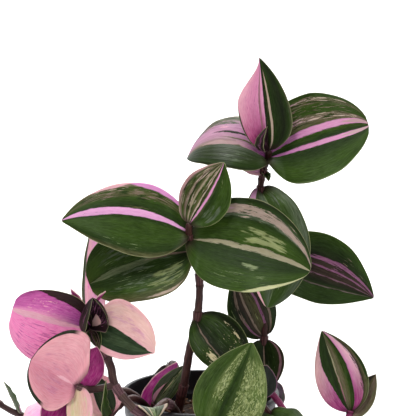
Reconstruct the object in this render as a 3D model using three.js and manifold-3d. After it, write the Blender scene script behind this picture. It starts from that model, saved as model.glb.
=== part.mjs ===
// A potted tradescantia: a dark nursery pot filled with soil, and leafy stems that stand in plain holes in
// the soil. Two stems grow tall, and shorter ones lean or trail over the rim. Millimetres, +Z up, and the
// origin is the centre of the pot's flat underside. -Y is the front.
import * as THREE from "three";
import { mergeVertices } from "three/addons/utils/BufferGeometryUtils.js";
import Module from "manifold-3d";

// Driving dimensions
const GAP = 0.3; // clearance between pieces that touch on the real plant
const BLADE = 0.8; // thickness of a leaf

const POT = {
  height: 85,
  baseRadius: 33.2, // of the flat underside
  bevel: 1.4, // round the underside
  collarRadius: 43.4, // where the wall meets the collar
  collarHeight: 71, // of the collar's lower edge
  rimRadius: 48, // of the rolled lip
  lipDepth: 2.8,
  lipOut: 1.6, // how far the lip stands out from the collar
  wall: 1.5,
  floor: 2,
  drainRadius: 3.4,
  drainCircle: 24,
  drains: 6,
  segments: 40,
};
const SOIL = {
  top: 67, // at the wall
  mound: 1.6, // of its lumps
  edge: 6, // over which the lumps die out at the wall
  segments: 28,
  rings: 5,
};
const JOINT = {
  swelling: 0.5, // of the stem below a sheath
  swellingLength: 1.6,
  sheath: 6.5, // length of the sheath below a joint
  sheathWall: 0.55,
  flare: 0.45, // of the sheath's mouth
  step: 0.2, // half the height of a step in the stem's surface
};
const STEM = {
  sides: 7,
  ringSpacing: 14, // between the rings of a bare stretch
  curveSteps: 400,
  tipLength: 1,
  tipShare: 0.8, // radius of the cut tip, as a share of the stem's
};
const BLADE_MESH = {
  stations: [0, 0.06, 0.17, 0.32, 0.5, 0.68, 0.83, 0.94, 1], // along a leaf, from base to tip
  across: [-1, -0.5, 0, 0.5, 1], // shares of the half width
  midribSteps: 24,
};
const OUTLINE = {
  baseShare: 0.14, // half width at the base, as a share of the widest
  shoulder: 2.2,
  shoulderRound: 0.62,
  tipShare: 0.02,
  tipRound: 1.9,
};
const CLASP = 50; // degrees that a leaf's base folds up around its stem
const CLASP_END = 0.14; // share of the leaf's length over which it opens out
const WAVES = 1.6; // along the edge of a waved leaf
const LEAN_TIP = 4; // how much a leaf's lean sharpens the tip on its left and rounds it on its right

const COLOURS = {
  pot: 0x26262b,
  soil: 0x2e231b,
  stem: 0x5a3640,
  green: 0x3b5128,
  striped: 0x7d6f58,
  bright: 0x7f984f,
  pink: 0xd9a3b3,
  magenta: 0x9d2575,
};

const rad = THREE.MathUtils.degToRad;
const wasm = await Module();
wasm.setup();

// A closed geometry as a solid that can be joined and cut.
function solid(geometry) {
  geometry.deleteAttribute("normal");
  geometry.deleteAttribute("uv");
  const merged = mergeVertices(geometry, 1e-4);
  return new wasm.Manifold(
    new wasm.Mesh({
      numProp: 3,
      vertProperties: merged.attributes.position.array,
      triVerts: new Uint32Array(merged.index.array),
    }),
  );
}

// A solid as a named mesh.
function piece(name, body, colour, roughness) {
  const { numProp, numVert, vertProperties, triVerts } = body.getMesh();
  const points = new Float32Array(numVert * 3);
  for (let i = 0; i < numVert; i++) {
    points.set(vertProperties.subarray(i * numProp, i * numProp + 3), i * 3);
  }
  const geometry = new THREE.BufferGeometry();
  geometry.setAttribute("position", new THREE.BufferAttribute(points, 3));
  geometry.setIndex(new THREE.BufferAttribute(triVerts, 1));
  geometry.computeVertexNormals();
  const mesh = new THREE.Mesh(geometry, new THREE.MeshStandardMaterial({ color: colour, roughness }));
  mesh.name = name;
  return mesh;
}

// A profile of [radius, height] turned about Z.
function turned(profile, segments) {
  const points = profile.map(([r, z]) => new THREE.Vector2(r, z));
  return new THREE.LatheGeometry(points, segments).rotateX(Math.PI / 2);
}

function potProfile() {
  const { height, baseRadius, bevel, wall, floor } = POT;
  const { collarRadius, collarHeight, rimRadius, lipDepth, lipOut } = POT;
  const collarTop = rimRadius - lipOut;
  const collarFoot = collarTop - 0.8;
  const round = 0.6;
  return [
    [0, 0],
    [baseRadius, 0],
    [baseRadius + bevel, bevel],
    [collarRadius, collarHeight],
    [collarFoot, collarHeight + round],
    [collarTop, height - lipDepth - 0.4],
    [rimRadius, height - lipDepth],
    [rimRadius, height - round],
    [rimRadius - round, height],
    [collarFoot - 0.4, height],
    [collarTop - wall, height - lipDepth],
    [collarFoot - wall, collarHeight + wall],
    [collarRadius - wall, collarHeight],
    [potInside(floor), floor],
    [0, floor],
  ];
}

function potBody() {
  let body = solid(turned(potProfile(), POT.segments));
  for (let i = 0; i < POT.drains; i++) {
    const angle = (2 * Math.PI * i) / POT.drains;
    const hole = new THREE.CylinderGeometry(POT.drainRadius, POT.drainRadius, 4 * POT.floor, 16);
    hole.rotateX(Math.PI / 2);
    hole.translate(POT.drainCircle * Math.cos(angle), POT.drainCircle * Math.sin(angle), POT.floor / 2);
    body = body.subtract(solid(hole));
  }
  return body;
}

// The pot's inner radius below the collar.
function potInside(z) {
  const foot = POT.baseRadius + POT.bevel;
  const share = (z - POT.bevel) / (POT.collarHeight - POT.bevel);
  return THREE.MathUtils.lerp(foot, POT.collarRadius, share) - POT.wall;
}

function soilGeometry() {
  const bottom = POT.floor + GAP;
  const edge = potInside(SOIL.top) - GAP;
  const profile = [
    [0, bottom],
    [potInside(bottom) - GAP, bottom],
    [edge, SOIL.top],
  ];
  for (let i = SOIL.rings - 1; i >= 0; i--) {
    profile.push([(edge * i) / SOIL.rings, SOIL.top]);
  }
  const geometry = turned(profile, SOIL.segments);
  const position = geometry.attributes.position;
  for (let i = 0; i < position.count; i++) {
    const [x, y, z] = [position.getX(i), position.getY(i), position.getZ(i)];
    const inward = Math.min(1, (edge - Math.hypot(x, y)) / SOIL.edge);
    if (z === SOIL.top) {
      const lumps = Math.sin(0.31 * x + 1) * Math.cos(0.27 * y) + 0.5 * Math.sin(0.6 * x - 0.5 * y);
      position.setZ(i, z + inward * SOIL.mound * (0.6 + 0.5 * lumps));
    }
  }
  return geometry;
}

// A stem's centre line with its length, and the distance along it at which each joint stands.
function routeOf(stem) {
  const curve = new THREE.CatmullRomCurve3(
    stem.route.map((p) => new THREE.Vector3(...p)),
    false,
    "centripetal",
  );
  curve.arcLengthDivisions = STEM.curveSteps;
  const length = curve.getLength();
  const spans = stem.route.length - 1;
  const lengths = curve.getLengths();
  const joints = stem.route.map((_, i) => lengths[Math.round((STEM.curveSteps * i) / spans)]);
  return { curve, length, joints };
}

// Distances along a stem with the radius there: each joint has a swelling, then a sheath with a flared mouth.
function stemProfile(stem, { length, joints }) {
  const radius = (s) => THREE.MathUtils.lerp(stem.radius, stem.radius * stem.taper, s / length);
  const profile = [[0, radius(0)]];
  const bare = (from, to) => {
    const steps = Math.max(1, Math.round((to - from) / STEM.ringSpacing));
    for (let i = 1; i < steps; i++) {
      const s = from + ((to - from) * i) / steps;
      profile.push([s, radius(s)]);
    }
  };
  let reached = 0;
  for (const [i, s] of joints.entries()) {
    if (!stem.joints.includes(i)) continue;
    const low = s - JOINT.sheath;
    bare(reached, low - JOINT.swellingLength);
    profile.push([low - JOINT.swellingLength, radius(low)]);
    profile.push([low - JOINT.step, radius(low) + JOINT.swelling]);
    profile.push([low + 5 * JOINT.step, radius(low) + 0.6 * JOINT.sheathWall]);
    profile.push([s - JOINT.step, radius(s) + JOINT.sheathWall + JOINT.flare]);
    profile.push([s + JOINT.step, radius(s)]);
    reached = s + JOINT.step;
  }
  if (length - reached > STEM.tipLength + JOINT.step) {
    bare(reached, length - STEM.tipLength);
    profile.push([length - STEM.tipLength, radius(length)]);
  }
  profile.push([length, STEM.tipShare * radius(length)]);
  return profile;
}

// A tube of round rings along a curve, with both ends closed.
function tube(curve, length, profile, grow = 0) {
  const points = [];
  const index = [];
  const side = new THREE.Vector3(1, 0, 0);
  for (const [s, radius] of profile) {
    const along = THREE.MathUtils.clamp(s / length, 0, 1);
    const centre = curve.getPointAt(along);
    const tangent = curve.getTangentAt(along);
    side.addScaledVector(tangent, -side.dot(tangent)).normalize();
    const up = new THREE.Vector3().crossVectors(tangent, side);
    for (let k = 0; k < STEM.sides; k++) {
      const angle = (2 * Math.PI * k) / STEM.sides;
      const p = centre.clone();
      p.addScaledVector(side, (radius + grow) * Math.cos(angle));
      p.addScaledVector(up, (radius + grow) * Math.sin(angle));
      points.push(p.x, p.y, p.z);
    }
  }
  const at = (ring, k) => ring * STEM.sides + (k % STEM.sides);
  const last = profile.length - 1;
  for (let ring = 0; ring < last; ring++) {
    for (let k = 0; k < STEM.sides; k++) {
      index.push(at(ring, k), at(ring, k + 1), at(ring + 1, k + 1));
      index.push(at(ring, k), at(ring + 1, k + 1), at(ring + 1, k));
    }
  }
  for (let k = 1; k < STEM.sides - 1; k++) {
    index.push(at(0, 0), at(0, k + 1), at(0, k));
    index.push(at(last, 0), at(last, k), at(last, k + 1));
  }
  const geometry = new THREE.BufferGeometry();
  geometry.setAttribute("position", new THREE.Float32BufferAttribute(points, 3));
  geometry.setIndex(index);
  return geometry;
}

// A plain cylinder round a stem, which leaves room for the stem where a leaf clasps it.
function seatGeometry(curve, share, radius) {
  const geometry = new THREE.CylinderGeometry(radius, radius, 2 * JOINT.sheath, STEM.sides);
  const up = new THREE.Vector3(0, 1, 0);
  geometry.applyQuaternion(new THREE.Quaternion().setFromUnitVectors(up, curve.getTangentAt(share)));
  return geometry.translate(...curve.getPointAt(share));
}

// Half the width of a leaf at a share t of its length, as a share of its widest half.
function outline(t, widest, tip) {
  const { baseShare, shoulder, shoulderRound, tipShare, tipRound } = OUTLINE;
  if (t < widest) {
    return baseShare + (1 - baseShare) * (1 - (1 - t / widest) ** shoulder) ** shoulderRound;
  }
  const s = (t - widest) / (1 - widest);
  return tipShare + (1 - tipShare) * (1 - s ** tipRound) ** tip;
}

// Frames along a leaf's midrib: centre, direction, left side and upper normal at each step.
function midrib(leaf, base) {
  const heading = rad(leaf.heading);
  const rise = rad(leaf.rise);
  const ahead = new THREE.Vector3(
    Math.cos(heading) * Math.cos(rise),
    Math.sin(heading) * Math.cos(rise),
    Math.sin(rise),
  );
  const left = new THREE.Vector3(-Math.sin(heading), Math.cos(heading), 0);
  left.applyAxisAngle(ahead, rad(leaf.roll));
  const steps = BLADE_MESH.midribSteps;
  const centre = base.clone();
  const frames = [];
  for (let i = 0; i <= steps; i++) {
    const normal = new THREE.Vector3().crossVectors(ahead, left);
    frames.push({ centre: centre.clone(), left: left.clone(), normal });
    centre.addScaledVector(ahead, leaf.length / steps);
    ahead.applyAxisAngle(left, rad(leaf.droop) / steps);
    ahead.applyAxisAngle(normal, rad(leaf.turn) / steps);
    left.addScaledVector(ahead, -left.dot(ahead)).normalize();
    left.applyAxisAngle(ahead, rad(leaf.twist) / steps);
  }
  return frames;
}

// A point of a leaf's middle surface, t along it and v across it.
function leafPoint(leaf, frames, t, v) {
  const step = Math.min(t, 1 - 1e-6) * BLADE_MESH.midribSteps;
  const [a, b] = [frames[Math.floor(step)], frames[Math.floor(step) + 1]];
  const centre = a.centre.clone().lerp(b.centre, step % 1);
  const left = a.left.clone().lerp(b.left, step % 1);
  const normal = a.normal.clone().lerp(b.normal, step % 1);
  const side = Math.sign(v);
  const shape = outline(t, leaf.widest + side * leaf.lean, leaf.tip * (1 + LEAN_TIP * side * leaf.lean));
  const half = (leaf.width / 2) * (1 + side * leaf.skew) * shape;
  const opening = Math.max(0, 1 - t / CLASP_END) ** 2;
  const fold = rad(THREE.MathUtils.lerp(leaf.fold, CLASP, opening));
  const cup = rad(leaf.cup) || 0.001;
  const edge = fold + cup * Math.abs(v);
  const out = (Math.sin(edge) - Math.sin(fold)) / cup;
  const up = (Math.cos(fold) - Math.cos(edge)) / cup;
  const ripple = leaf.wave * v * v * Math.sin(2 * Math.PI * WAVES * t + 2 * v) * Math.sin(Math.PI * t);
  centre.addScaledVector(left, side * half * out);
  return centre.addScaledVector(normal, half * up + ripple);
}

// A leaf as a thin closed blade, with the same triangles on its two faces.
function blade(leaf, base) {
  const frames = midrib(leaf, base);
  const { stations, across } = BLADE_MESH;
  const rows = stations.length;
  const columns = across.length;
  const grid = stations.map((t) => across.map((v) => leafPoint(leaf, frames, t, v)));
  const upper = [];
  const lower = [];
  for (let i = 0; i < rows; i++) {
    for (let j = 0; j < columns; j++) {
      const ahead = grid[Math.min(i + 1, rows - 1)][j].clone().sub(grid[Math.max(i - 1, 0)][j]);
      const left = grid[i][Math.min(j + 1, columns - 1)].clone().sub(grid[i][Math.max(j - 1, 0)]);
      const lift = ahead.cross(left).normalize().multiplyScalar(BLADE / 2);
      upper.push(...grid[i][j].clone().add(lift));
      lower.push(...grid[i][j].clone().sub(lift));
    }
  }
  const top = (i, j) => i * columns + j;
  const under = (i, j) => rows * columns + i * columns + j;
  const index = [];
  const quad = (a, b, c, d) => index.push(a, b, c, a, c, d);
  for (let i = 0; i < rows - 1; i++) {
    for (let j = 0; j < columns - 1; j++) {
      quad(top(i, j), top(i + 1, j), top(i + 1, j + 1), top(i, j + 1));
      index.push(under(i, j), under(i + 1, j + 1), under(i + 1, j));
      index.push(under(i, j), under(i, j + 1), under(i + 1, j + 1));
    }
    quad(top(i, 0), under(i, 0), under(i + 1, 0), top(i + 1, 0));
    quad(top(i, columns - 1), top(i + 1, columns - 1), under(i + 1, columns - 1), under(i, columns - 1));
  }
  for (let j = 0; j < columns - 1; j++) {
    quad(top(0, j), top(0, j + 1), under(0, j + 1), under(0, j));
    quad(top(rows - 1, j), under(rows - 1, j), under(rows - 1, j + 1), top(rows - 1, j + 1));
  }
  const geometry = new THREE.BufferGeometry();
  geometry.setAttribute("position", new THREE.Float32BufferAttribute([...upper, ...lower], 3));
  geometry.setIndex(index);
  return geometry;
}

// Stems. A route runs from the buried end to the tip, and joints are the places on it, counted from 0,
// that have a sheath. A branch starts inside the stem that it grows from and is one piece with it. A leaf
// grows at a joint: slide along the stem from there, heading in degrees (0 right, 90 away, 180 left, 270 to
// the front), rise above level at its base, droop from base to tip, roll about its own length, turn to its
// left, then length and width. A leaf is a piece of its own, and a young one is one piece with its stem.
const LEAF = {
  slide: 0,
  droop: 0,
  roll: 0,
  turn: 0,
  twist: 0,
  widest: 0.42, // share of its length where the leaf is widest
  tip: 0.95, // lower for a rounder tip
  fold: 12, // degrees that each half rises from the midrib
  lean: 0, // how much nearer the tip the left half is widest, and how much nearer the base the right half
  skew: 0, // how much wider the left half is than half the width, as a share
  cup: 0, // degrees that each half bends from midrib to edge
  wave: 0, // height of the ripple along the edge
  colour: "green",
};
const STEMS = [
  {
    name: "front_tall",
    radius: 2.8,
    taper: 0.72,
    route: [
      [-15, -12, 46], [-13, -15, 76], [-9.3, -20, 95], [-5.7, -24, 118],
      [-0.9, -27, 141], [-0.3, -30, 164], [-3.6, -33, 178], [-6, -36, 188], [-5.4, -40, 195],
    ],
    joints: [2, 4, 5, 6, 7],
    leaves: [
      {
        joint: 4, slide: -4, heading: -34, rise: -38, droop: 8, roll: 50, length: 44, width: 31,
        cup: -20, tip: 0.7,
      },
      {
        joint: 6, heading: 188, rise: -6, droop: 30, roll: -62, turn: 14, length: 64, width: 50,
        tip: 0.5, wave: 1.2,
      },
      {
        joint: 7, heading: 194, rise: 26, droop: 30, roll: -64, turn: 28, length: 74, width: 44,
        cup: -25, wave: 1.2,
      },
      {
        joint: 7, slide: -3, heading: -22, rise: 0, droop: 15, roll: 62, turn: -18, length: 73,
        width: 56, tip: 0.7, wave: 1.2,
      },
      {
        joint: 8, heading: -6, rise: 61, roll: 75, length: 40, width: 31, cup: -30, widest: 0.45,
        colour: "striped",
      },
    ],
  },
  {
    name: "back_tall",
    radius: 2.5,
    taper: 0.76,
    route: [
      [34, 9, 46], [36, 8, 74], [38.5, 5, 96], [38.8, 2, 119], [40, 6, 142],
      [40.8, 5, 166], [38, 1, 187], [36, -2, 211], [38, -4, 222], [40.4, -5, 228.5], [40, -8, 233],
    ],
    joints: [2, 3, 5, 7, 8],
    leaves: [
      { joint: 3, slide: -3, heading: -90, rise: -55, droop: 20, roll: 5, length: 33, width: 25 },
      {
        joint: 3, heading: 205, rise: 64, droop: 4, roll: -101, length: 44, width: 30, cup: -30,
        colour: "striped",
      },
      {
        joint: 5, heading: -8, rise: -6, droop: 25, roll: 60, turn: -20, length: 69, width: 45,
        tip: 0.95, wave: 1.2,
      },
      {
        joint: 7, slide: -3, heading: -66, rise: -26, droop: 78, roll: 11, turn: -32, length: 77,
        width: 38, widest: 0.54, tip: 0.8, wave: 1.2,
      },
      {
        joint: 9, slide: -2, heading: 205, rise: 38, droop: 112, roll: -54, length: 58, width: 42,
        cup: -20, skew: -0.08, colour: "striped",
      },
      {
        joint: 9, heading: -16, rise: 24, droop: 10, roll: 65, turn: -7, length: 62, width: 56,
        tip: 0.55, wave: 1.2,
      },
      {
        joint: 10, heading: 165, rise: 84, roll: -75, length: 54, width: 34, fold: 25, tip: 1.5,
        lean: 0.1, colour: "striped",
      },
    ],
  },
  {
    name: "pink_left",
    radius: 2.9,
    taper: 0.75,
    route: [
      [-9, -13, 46], [-12, -24, 74], [-19.7, -46, 91.5], [-29, -58, 88], [-37, -60, 93],
      [-47.5, -57, 105.6], [-50, -55, 116], [-55, -53, 127], [-61, -51, 136], [-65, -50, 143],
    ],
    joints: [2, 4, 5, 7],
    leaves: [
      {
        joint: 8, heading: 190, rise: 17, droop: 20, roll: -82, length: 46, width: 43, tip: 0.4,
        skew: 0.2, wave: 1.2, colour: "pink",
      },
      {
        joint: 8, slide: -3, heading: -36, rise: -2, droop: 10, roll: 66, turn: -6, length: 42,
        width: 33, tip: 0.8, skew: 0.4, lean: -0.08, wave: 1.2, colour: "pink",
      },
      {
        joint: 8, slide: -3, heading: 96, rise: 42, droop: -6, roll: 4, twist: 44, length: 80,
        width: 15, colour: "pink",
      },
      { joint: 3, slide: -2, heading: 280, rise: 62, droop: 110, length: 23, width: 17.4, colour: "striped" },
    ],
  },
  {
    name: "pink_side",
    branchOf: "pink_left",
    radius: 2.1,
    taper: 0.9,
    route: [[-47.5, -57, 105.6], [-56, -60, 104.5], [-63, -64, 105], [-69, -67, 108]],
    joints: [3],
    leaves: [
      {
        joint: 3, heading: 218, rise: 36, droop: 15, roll: -86, length: 32, width: 48, widest: 0.42,
        tip: 0.5, skew: -0.15, wave: 1.2, colour: "pink",
      },
      { joint: 3, slide: -5, heading: 20, rise: 70, roll: -85, length: 25, width: 21, colour: "magenta" },
      { joint: 3, heading: 200, rise: -60, droop: 10, roll: 100, length: 34, width: 24, colour: "magenta" },
    ],
    young: [{ joint: 3, slide: -3, heading: 275, rise: -45, droop: 30, length: 33, width: 15 }],
  },
  {
    name: "short_left",
    radius: 2.3,
    taper: 0.8,
    route: [[-27, -8, 46], [-31, -10.5, 64], [-31.5, -12.5, 73], [-27, -13, 81]],
    joints: [2, 3],
    leaves: [
      {
        joint: 2, heading: 33, rise: 55, roll: -97, length: 37, width: 20, widest: 0.34,
        colour: "magenta",
      },
      { joint: 3, heading: -1, rise: 53, roll: 75, length: 30, width: 13, colour: "striped" },
    ],
  },
  {
    name: "front",
    radius: 2.3,
    taper: 0.8,
    route: [[4, -14, 46], [6, -22, 72], [7, -45, 91], [7, -57, 88], [7, -63, 79], [6, -66, 66]],
    joints: [2, 4, 5],
    leaves: [
      {
        joint: 4, heading: 29, rise: 60, roll: 65, turn: 4, length: 56, width: 42, wave: 1.2,
        colour: "bright",
      },
      { joint: 5, slide: -4, heading: 215, rise: -10, droop: 60, length: 46, width: 28 },
      { joint: 5, heading: 300, rise: -30, droop: 45, length: 44, width: 28 },
    ],
  },
  {
    name: "front_right",
    radius: 2.2,
    taper: 0.8,
    route: [[18, -12, 46], [22, -20, 72], [31, -36, 91], [40, -46, 85], [44, -52, 74]],
    joints: [2, 3, 4],
    leaves: [
      { joint: 2, heading: 335, rise: 68, roll: -60, length: 23, width: 23 },
      { joint: 3, heading: 290, rise: 10, droop: 60, roll: 10, length: 40, width: 26 },
      { joint: 4, slide: -2, heading: 200, rise: -30, droop: 40, length: 38, width: 25, colour: "striped" },
      { joint: 4, heading: 325, rise: -46, droop: 26, length: 36, width: 25 },
    ],
  },
  {
    name: "right",
    radius: 2.2,
    taper: 0.85,
    route: [
      [24, -4, 46], [31, -12, 74], [40.5, -22, 91], [49, -29, 83],
      [58, -30, 68], [74, -24, 62], [87, -16, 67], [90, -14, 77],
    ],
    joints: [4, 6, 7],
    leaves: [
      {
        joint: 7, heading: 150, rise: 75, roll: -60, turn: 14, length: 51, width: 34, fold: 25,
        colour: "striped",
      },
      {
        joint: 7, slide: -4, heading: 32, rise: 48, droop: -35, roll: 45, length: 31, width: 17,
        fold: 18, colour: "striped",
      },
      { joint: 6, heading: 350, rise: 0, droop: 60, length: 42, width: 28 },
      { joint: 4, heading: 70, rise: -20, droop: 40, length: 40, width: 28 },
    ],
  },
  {
    name: "left",
    radius: 2.2,
    taper: 0.8,
    route: [
      [-24, 2, 46], [-31, -5, 74], [-44, -13, 89], [-57, -18, 88], [-80, -20, 79], [-100, -20, 75],
      [-114, -20, 80], [-124, -20, 88],
    ],
    joints: [4, 5, 7],
    leaves: [
      { joint: 5, slide: 7, heading: 180, rise: 66, length: 22, width: 12 },
      { joint: 4, heading: 235, rise: 25, droop: 60, length: 36, width: 24, colour: "pink" },
      { joint: 7, heading: 150, rise: 50, droop: 50, length: 32, width: 22 },
      { joint: 7, slide: -4, heading: 230, rise: 0, droop: 50, length: 34, width: 24, colour: "striped" },
    ],
  },
  {
    name: "front_left",
    radius: 2.3,
    taper: 0.8,
    route: [[-25, -14, 46], [-28, -18, 74], [-39, -29, 89.4], [-52, -38, 82], [-59, -44, 66], [-62, -47, 52]],
    joints: [3, 4, 5],
    leaves: [
      { joint: 3, heading: 170, rise: 60, roll: -70, length: 26, width: 26, tip: 0.5, colour: "pink" },
      { joint: 4, heading: 215, rise: 0, droop: 60, length: 44, width: 30, colour: "striped" },
      { joint: 5, slide: -5, heading: 295, rise: -20, droop: 50, length: 42, width: 28, colour: "pink" },
      { joint: 5, heading: 200, rise: -40, droop: 30, length: 36, width: 24 },
    ],
  },
  {
    name: "back_right",
    radius: 2.3,
    taper: 0.8,
    route: [[18, 18, 46], [20, 26, 74], [24, 42, 91], [27, 55, 83], [28, 62, 68], [28, 65, 52]],
    joints: [3, 4, 5],
    leaves: [
      { joint: 3, heading: 30, rise: -20, droop: 50, length: 44, width: 28 },
      { joint: 4, heading: 130, rise: 0, droop: 60, length: 50, width: 32, colour: "striped" },
      { joint: 5, slide: -4, heading: 60, rise: -20, droop: 50, length: 42, width: 26 },
      { joint: 5, heading: 170, rise: -40, droop: 30, length: 38, width: 26 },
    ],
  },
  {
    name: "back_left",
    radius: 2.3,
    taper: 0.8,
    route: [[-12, 18, 46], [-13, 26, 74], [-16, 43, 89.4], [-20, 56, 84], [-22, 63, 70]],
    joints: [3, 4],
    leaves: [
      { joint: 3, heading: 162, rise: -32, droop: 45, length: 46, width: 30, colour: "striped" },
      { joint: 4, heading: 70, rise: -10, droop: 60, length: 42, width: 28 },
    ],
  },
];

const group = new THREE.Group();
group.add(piece("pot", potBody(), COLOURS.pot, 0.45));

let soil = solid(soilGeometry());
const bodies = new Map();
for (const stem of STEMS) {
  const { curve, length, joints } = routeOf(stem);
  const profile = stemProfile(stem, { length, joints });
  const shareAt = (leaf) => Math.min(1, (joints[leaf.joint] + leaf.slide) / length);
  const baseOf = (leaf) => curve.getPointAt(shareAt(leaf));
  const clearance = solid(tube(curve, length, profile, GAP));
  let body = solid(tube(curve, length, profile));
  for (const row of stem.young ?? []) {
    const leaf = { ...LEAF, ...row };
    body = body.add(solid(blade(leaf, baseOf(leaf))));
  }
  if (stem.branchOf) {
    bodies.set(stem.branchOf, bodies.get(stem.branchOf).add(body));
  } else {
    bodies.set(stem.name, body);
    soil = soil.subtract(clearance);
  }
  stem.leaves.forEach((row, i) => {
    const leaf = { ...LEAF, ...row };
    const share = shareAt(leaf);
    const sheath = stem.joints.includes(leaf.joint) ? JOINT.sheathWall + JOINT.flare : 0;
    const radius = stem.radius * THREE.MathUtils.lerp(1, stem.taper, share) + sheath + GAP;
    const seat = solid(seatGeometry(curve, share, radius));
    const parts = solid(blade(leaf, baseOf(leaf))).subtract(seat).subtract(clearance).decompose();
    parts.sort((a, b) => b.volume() - a.volume());
    group.add(piece(`leaf_${stem.name}_${i + 1}`, parts[0], COLOURS[leaf.colour], 0.4));
  });
}
for (const [name, body] of bodies) {
  group.add(piece(`stem_${name}`, body, COLOURS.stem, 0.5));
}
group.add(piece("soil", soil, COLOURS.soil, 0.95));

export default group;
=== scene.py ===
import math
import random

import bpy
import numpy as np
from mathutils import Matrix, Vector, noise


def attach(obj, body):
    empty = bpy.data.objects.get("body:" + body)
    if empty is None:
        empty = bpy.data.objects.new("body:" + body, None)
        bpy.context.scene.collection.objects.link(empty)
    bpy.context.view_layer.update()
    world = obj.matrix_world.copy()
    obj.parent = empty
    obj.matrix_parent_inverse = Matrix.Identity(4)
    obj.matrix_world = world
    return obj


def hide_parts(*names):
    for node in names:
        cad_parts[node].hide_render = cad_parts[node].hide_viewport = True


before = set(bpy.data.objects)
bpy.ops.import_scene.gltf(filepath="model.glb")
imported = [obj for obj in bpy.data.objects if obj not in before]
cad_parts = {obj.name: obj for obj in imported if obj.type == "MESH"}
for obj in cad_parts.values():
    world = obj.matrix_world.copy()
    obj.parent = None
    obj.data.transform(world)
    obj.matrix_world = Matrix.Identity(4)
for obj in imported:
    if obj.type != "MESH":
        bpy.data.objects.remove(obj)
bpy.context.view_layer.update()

# Sizes are in millimetres, as in the part's source, and the meshes are made in metres.
MM = 0.001
GAP = 0.3  # between the soil and the pot
POT = dict(
    height=85, base=33.2, bevel=1.4, collar=43.4, collar_height=71, rim=48, lip_depth=2.8, lip_out=1.6,
    wall=1.5, floor=2, drain=3.4, drain_circle=24, drains=6, plate=29.3, softness=0.5, sides=144,
)
SOIL = dict(top=67, mound=1.6, edge=6, crumbs=0.9, sides=120, rings=34, chips=420, pale=0.16, lift=0.15)
JOINT = dict(swelling=0.4, sheath=6.5, wall=0.3, flare=0.25, ribs=6, rib=0.07, hairs=9, hair=0.07)
# The shares of a leaf's width that are left at its base and its tip, and how full it is towards them.
OUTLINE = dict(base=0.14, shoulder=2.2, shoulder_round=0.62, tip=0.02, tip_round=1.9)
MIDRIB_STEPS = 24
CURVE_STEPS = 400
CLASP = 50  # degrees by which each half of a leaf is folded up at its stem
CLASP_END = 0.14  # share of the length over which that fold opens
WAVES = 1.6  # along a leaf
LEAN_TIP = 4  # how much sharper a leaning leaf's tip is on one side
THICKNESS = 0.55  # of a leaf at its midrib
ROW_STEP = 1.3  # between the rows of a leaf's points
COLUMN_STEP = 0.85  # between its columns
# Heights in millimetres of what stands out of a leaf's faces.
RELIEF = dict(edge_ripple=0.35, ripple=0.12, veins=0.05, rib_width=0.9, groove=0.3, rib=0.45)
RING_STEP = 0.6  # between the rings of a stem
RING_SIDES = 18
PLANT_SEED = 11
SOIL_SEED = 5

# What a leaf has where its row doesn't say otherwise, in millimetres, degrees and shares of its size.
LEAF = dict(
    slide=0, droop=0, roll=0, turn=0, twist=0, widest=0.42, tip=0.95, fold=12, lean=0, skew=0, cup=0, wave=0,
)


def leaf(joint, heading, rise, length, width, look, **more):
    """What the part's source says of a leaf, with the name of its look, which is one of those below."""
    place = dict(joint=joint, heading=heading, rise=rise)
    return {**LEAF, **place, **dict(length=length, width=width, look=look), **more}


# The young leaf is part of a stem's solid in the source. The buds are small leaves in this scene alone.
STEMS = {}
STEMS["front_tall"] = dict(
    radius=2.8, taper=0.72, joints=[2, 4, 5, 6, 7],
    route=[(-15, -12, 46), (-13, -15, 76), (-9.3, -20, 95), (-5.7, -24, 118), (-0.9, -27, 141),
           (-0.3, -30, 164), (-3.6, -33, 178), (-6, -36, 188), (-5.4, -40, 195)],
    leaves=[
        leaf(4, -34, -38, 44, 31, "cream_flecks", slide=-4, droop=8, roll=50, tip=0.7, cup=-20),
        leaf(6, 188, -6, 64, 50, "pale_rib", droop=30, roll=-62, turn=14, tip=0.5, wave=1.2),
        leaf(7, 194, 26, 74, 44, "one_pink_stripe", droop=30, roll=-64, turn=28, cup=-25, wave=1.2),
        leaf(7, -22, 0, 73, 56, "two_beige_stripes", slide=-3, droop=15, roll=62, turn=-18, tip=0.7,
             wave=1.2),
        leaf(8, -6, 61, 40, 31, "many_stripes", roll=75, widest=0.45, cup=-30),
    ],
)
STEMS["back_tall"] = dict(
    radius=2.5, taper=0.76, joints=[2, 3, 5, 7, 8],
    route=[(34, 9, 46), (36, 8, 74), (38.5, 5, 96), (38.8, 2, 119), (40, 6, 142), (40.8, 5, 166),
           (38, 1, 187), (36, -2, 211), (38, -4, 222), (40.4, -5, 228.5), (40, -8, 233)],
    leaves=[
        leaf(3, -90, -55, 33, 25, "pink_edge", slide=-3, droop=20, roll=5),
        leaf(3, 205, 64, 44, 30, "dark_stripes", droop=4, roll=-101, cup=-30),
        leaf(5, -8, -6, 69, 45, "mauve_lines", droop=25, roll=60, turn=-20, wave=1.2),
        leaf(7, -66, -26, 77, 38, "grey_green", slide=-3, droop=78, roll=11, turn=-32, widest=0.54, tip=0.8,
             wave=1.2),
        leaf(9, 205, 38, 58, 42, "half_lilac", slide=-2, droop=112, roll=-54, skew=-0.08, cup=-20),
        leaf(9, -16, 24, 62, 56, "two_pink_stripes", droop=10, roll=65, turn=-7, tip=0.55, wave=1.2),
        leaf(10, 165, 84, 54, 34, "half_pink", roll=-75, tip=1.5, fold=25, lean=0.1),
    ],
    buds=[
        leaf(10, 262, 74, 15, 22, "dark_bud", roll=150, fold=50, cup=120),
        leaf(8, 200, 14, 15, 6, "pale_pink", slide=-3, roll=-70),
        leaf(8, 300, -34, 8, 7, "grey_green", slide=-3, fold=40),
    ],
)
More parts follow.
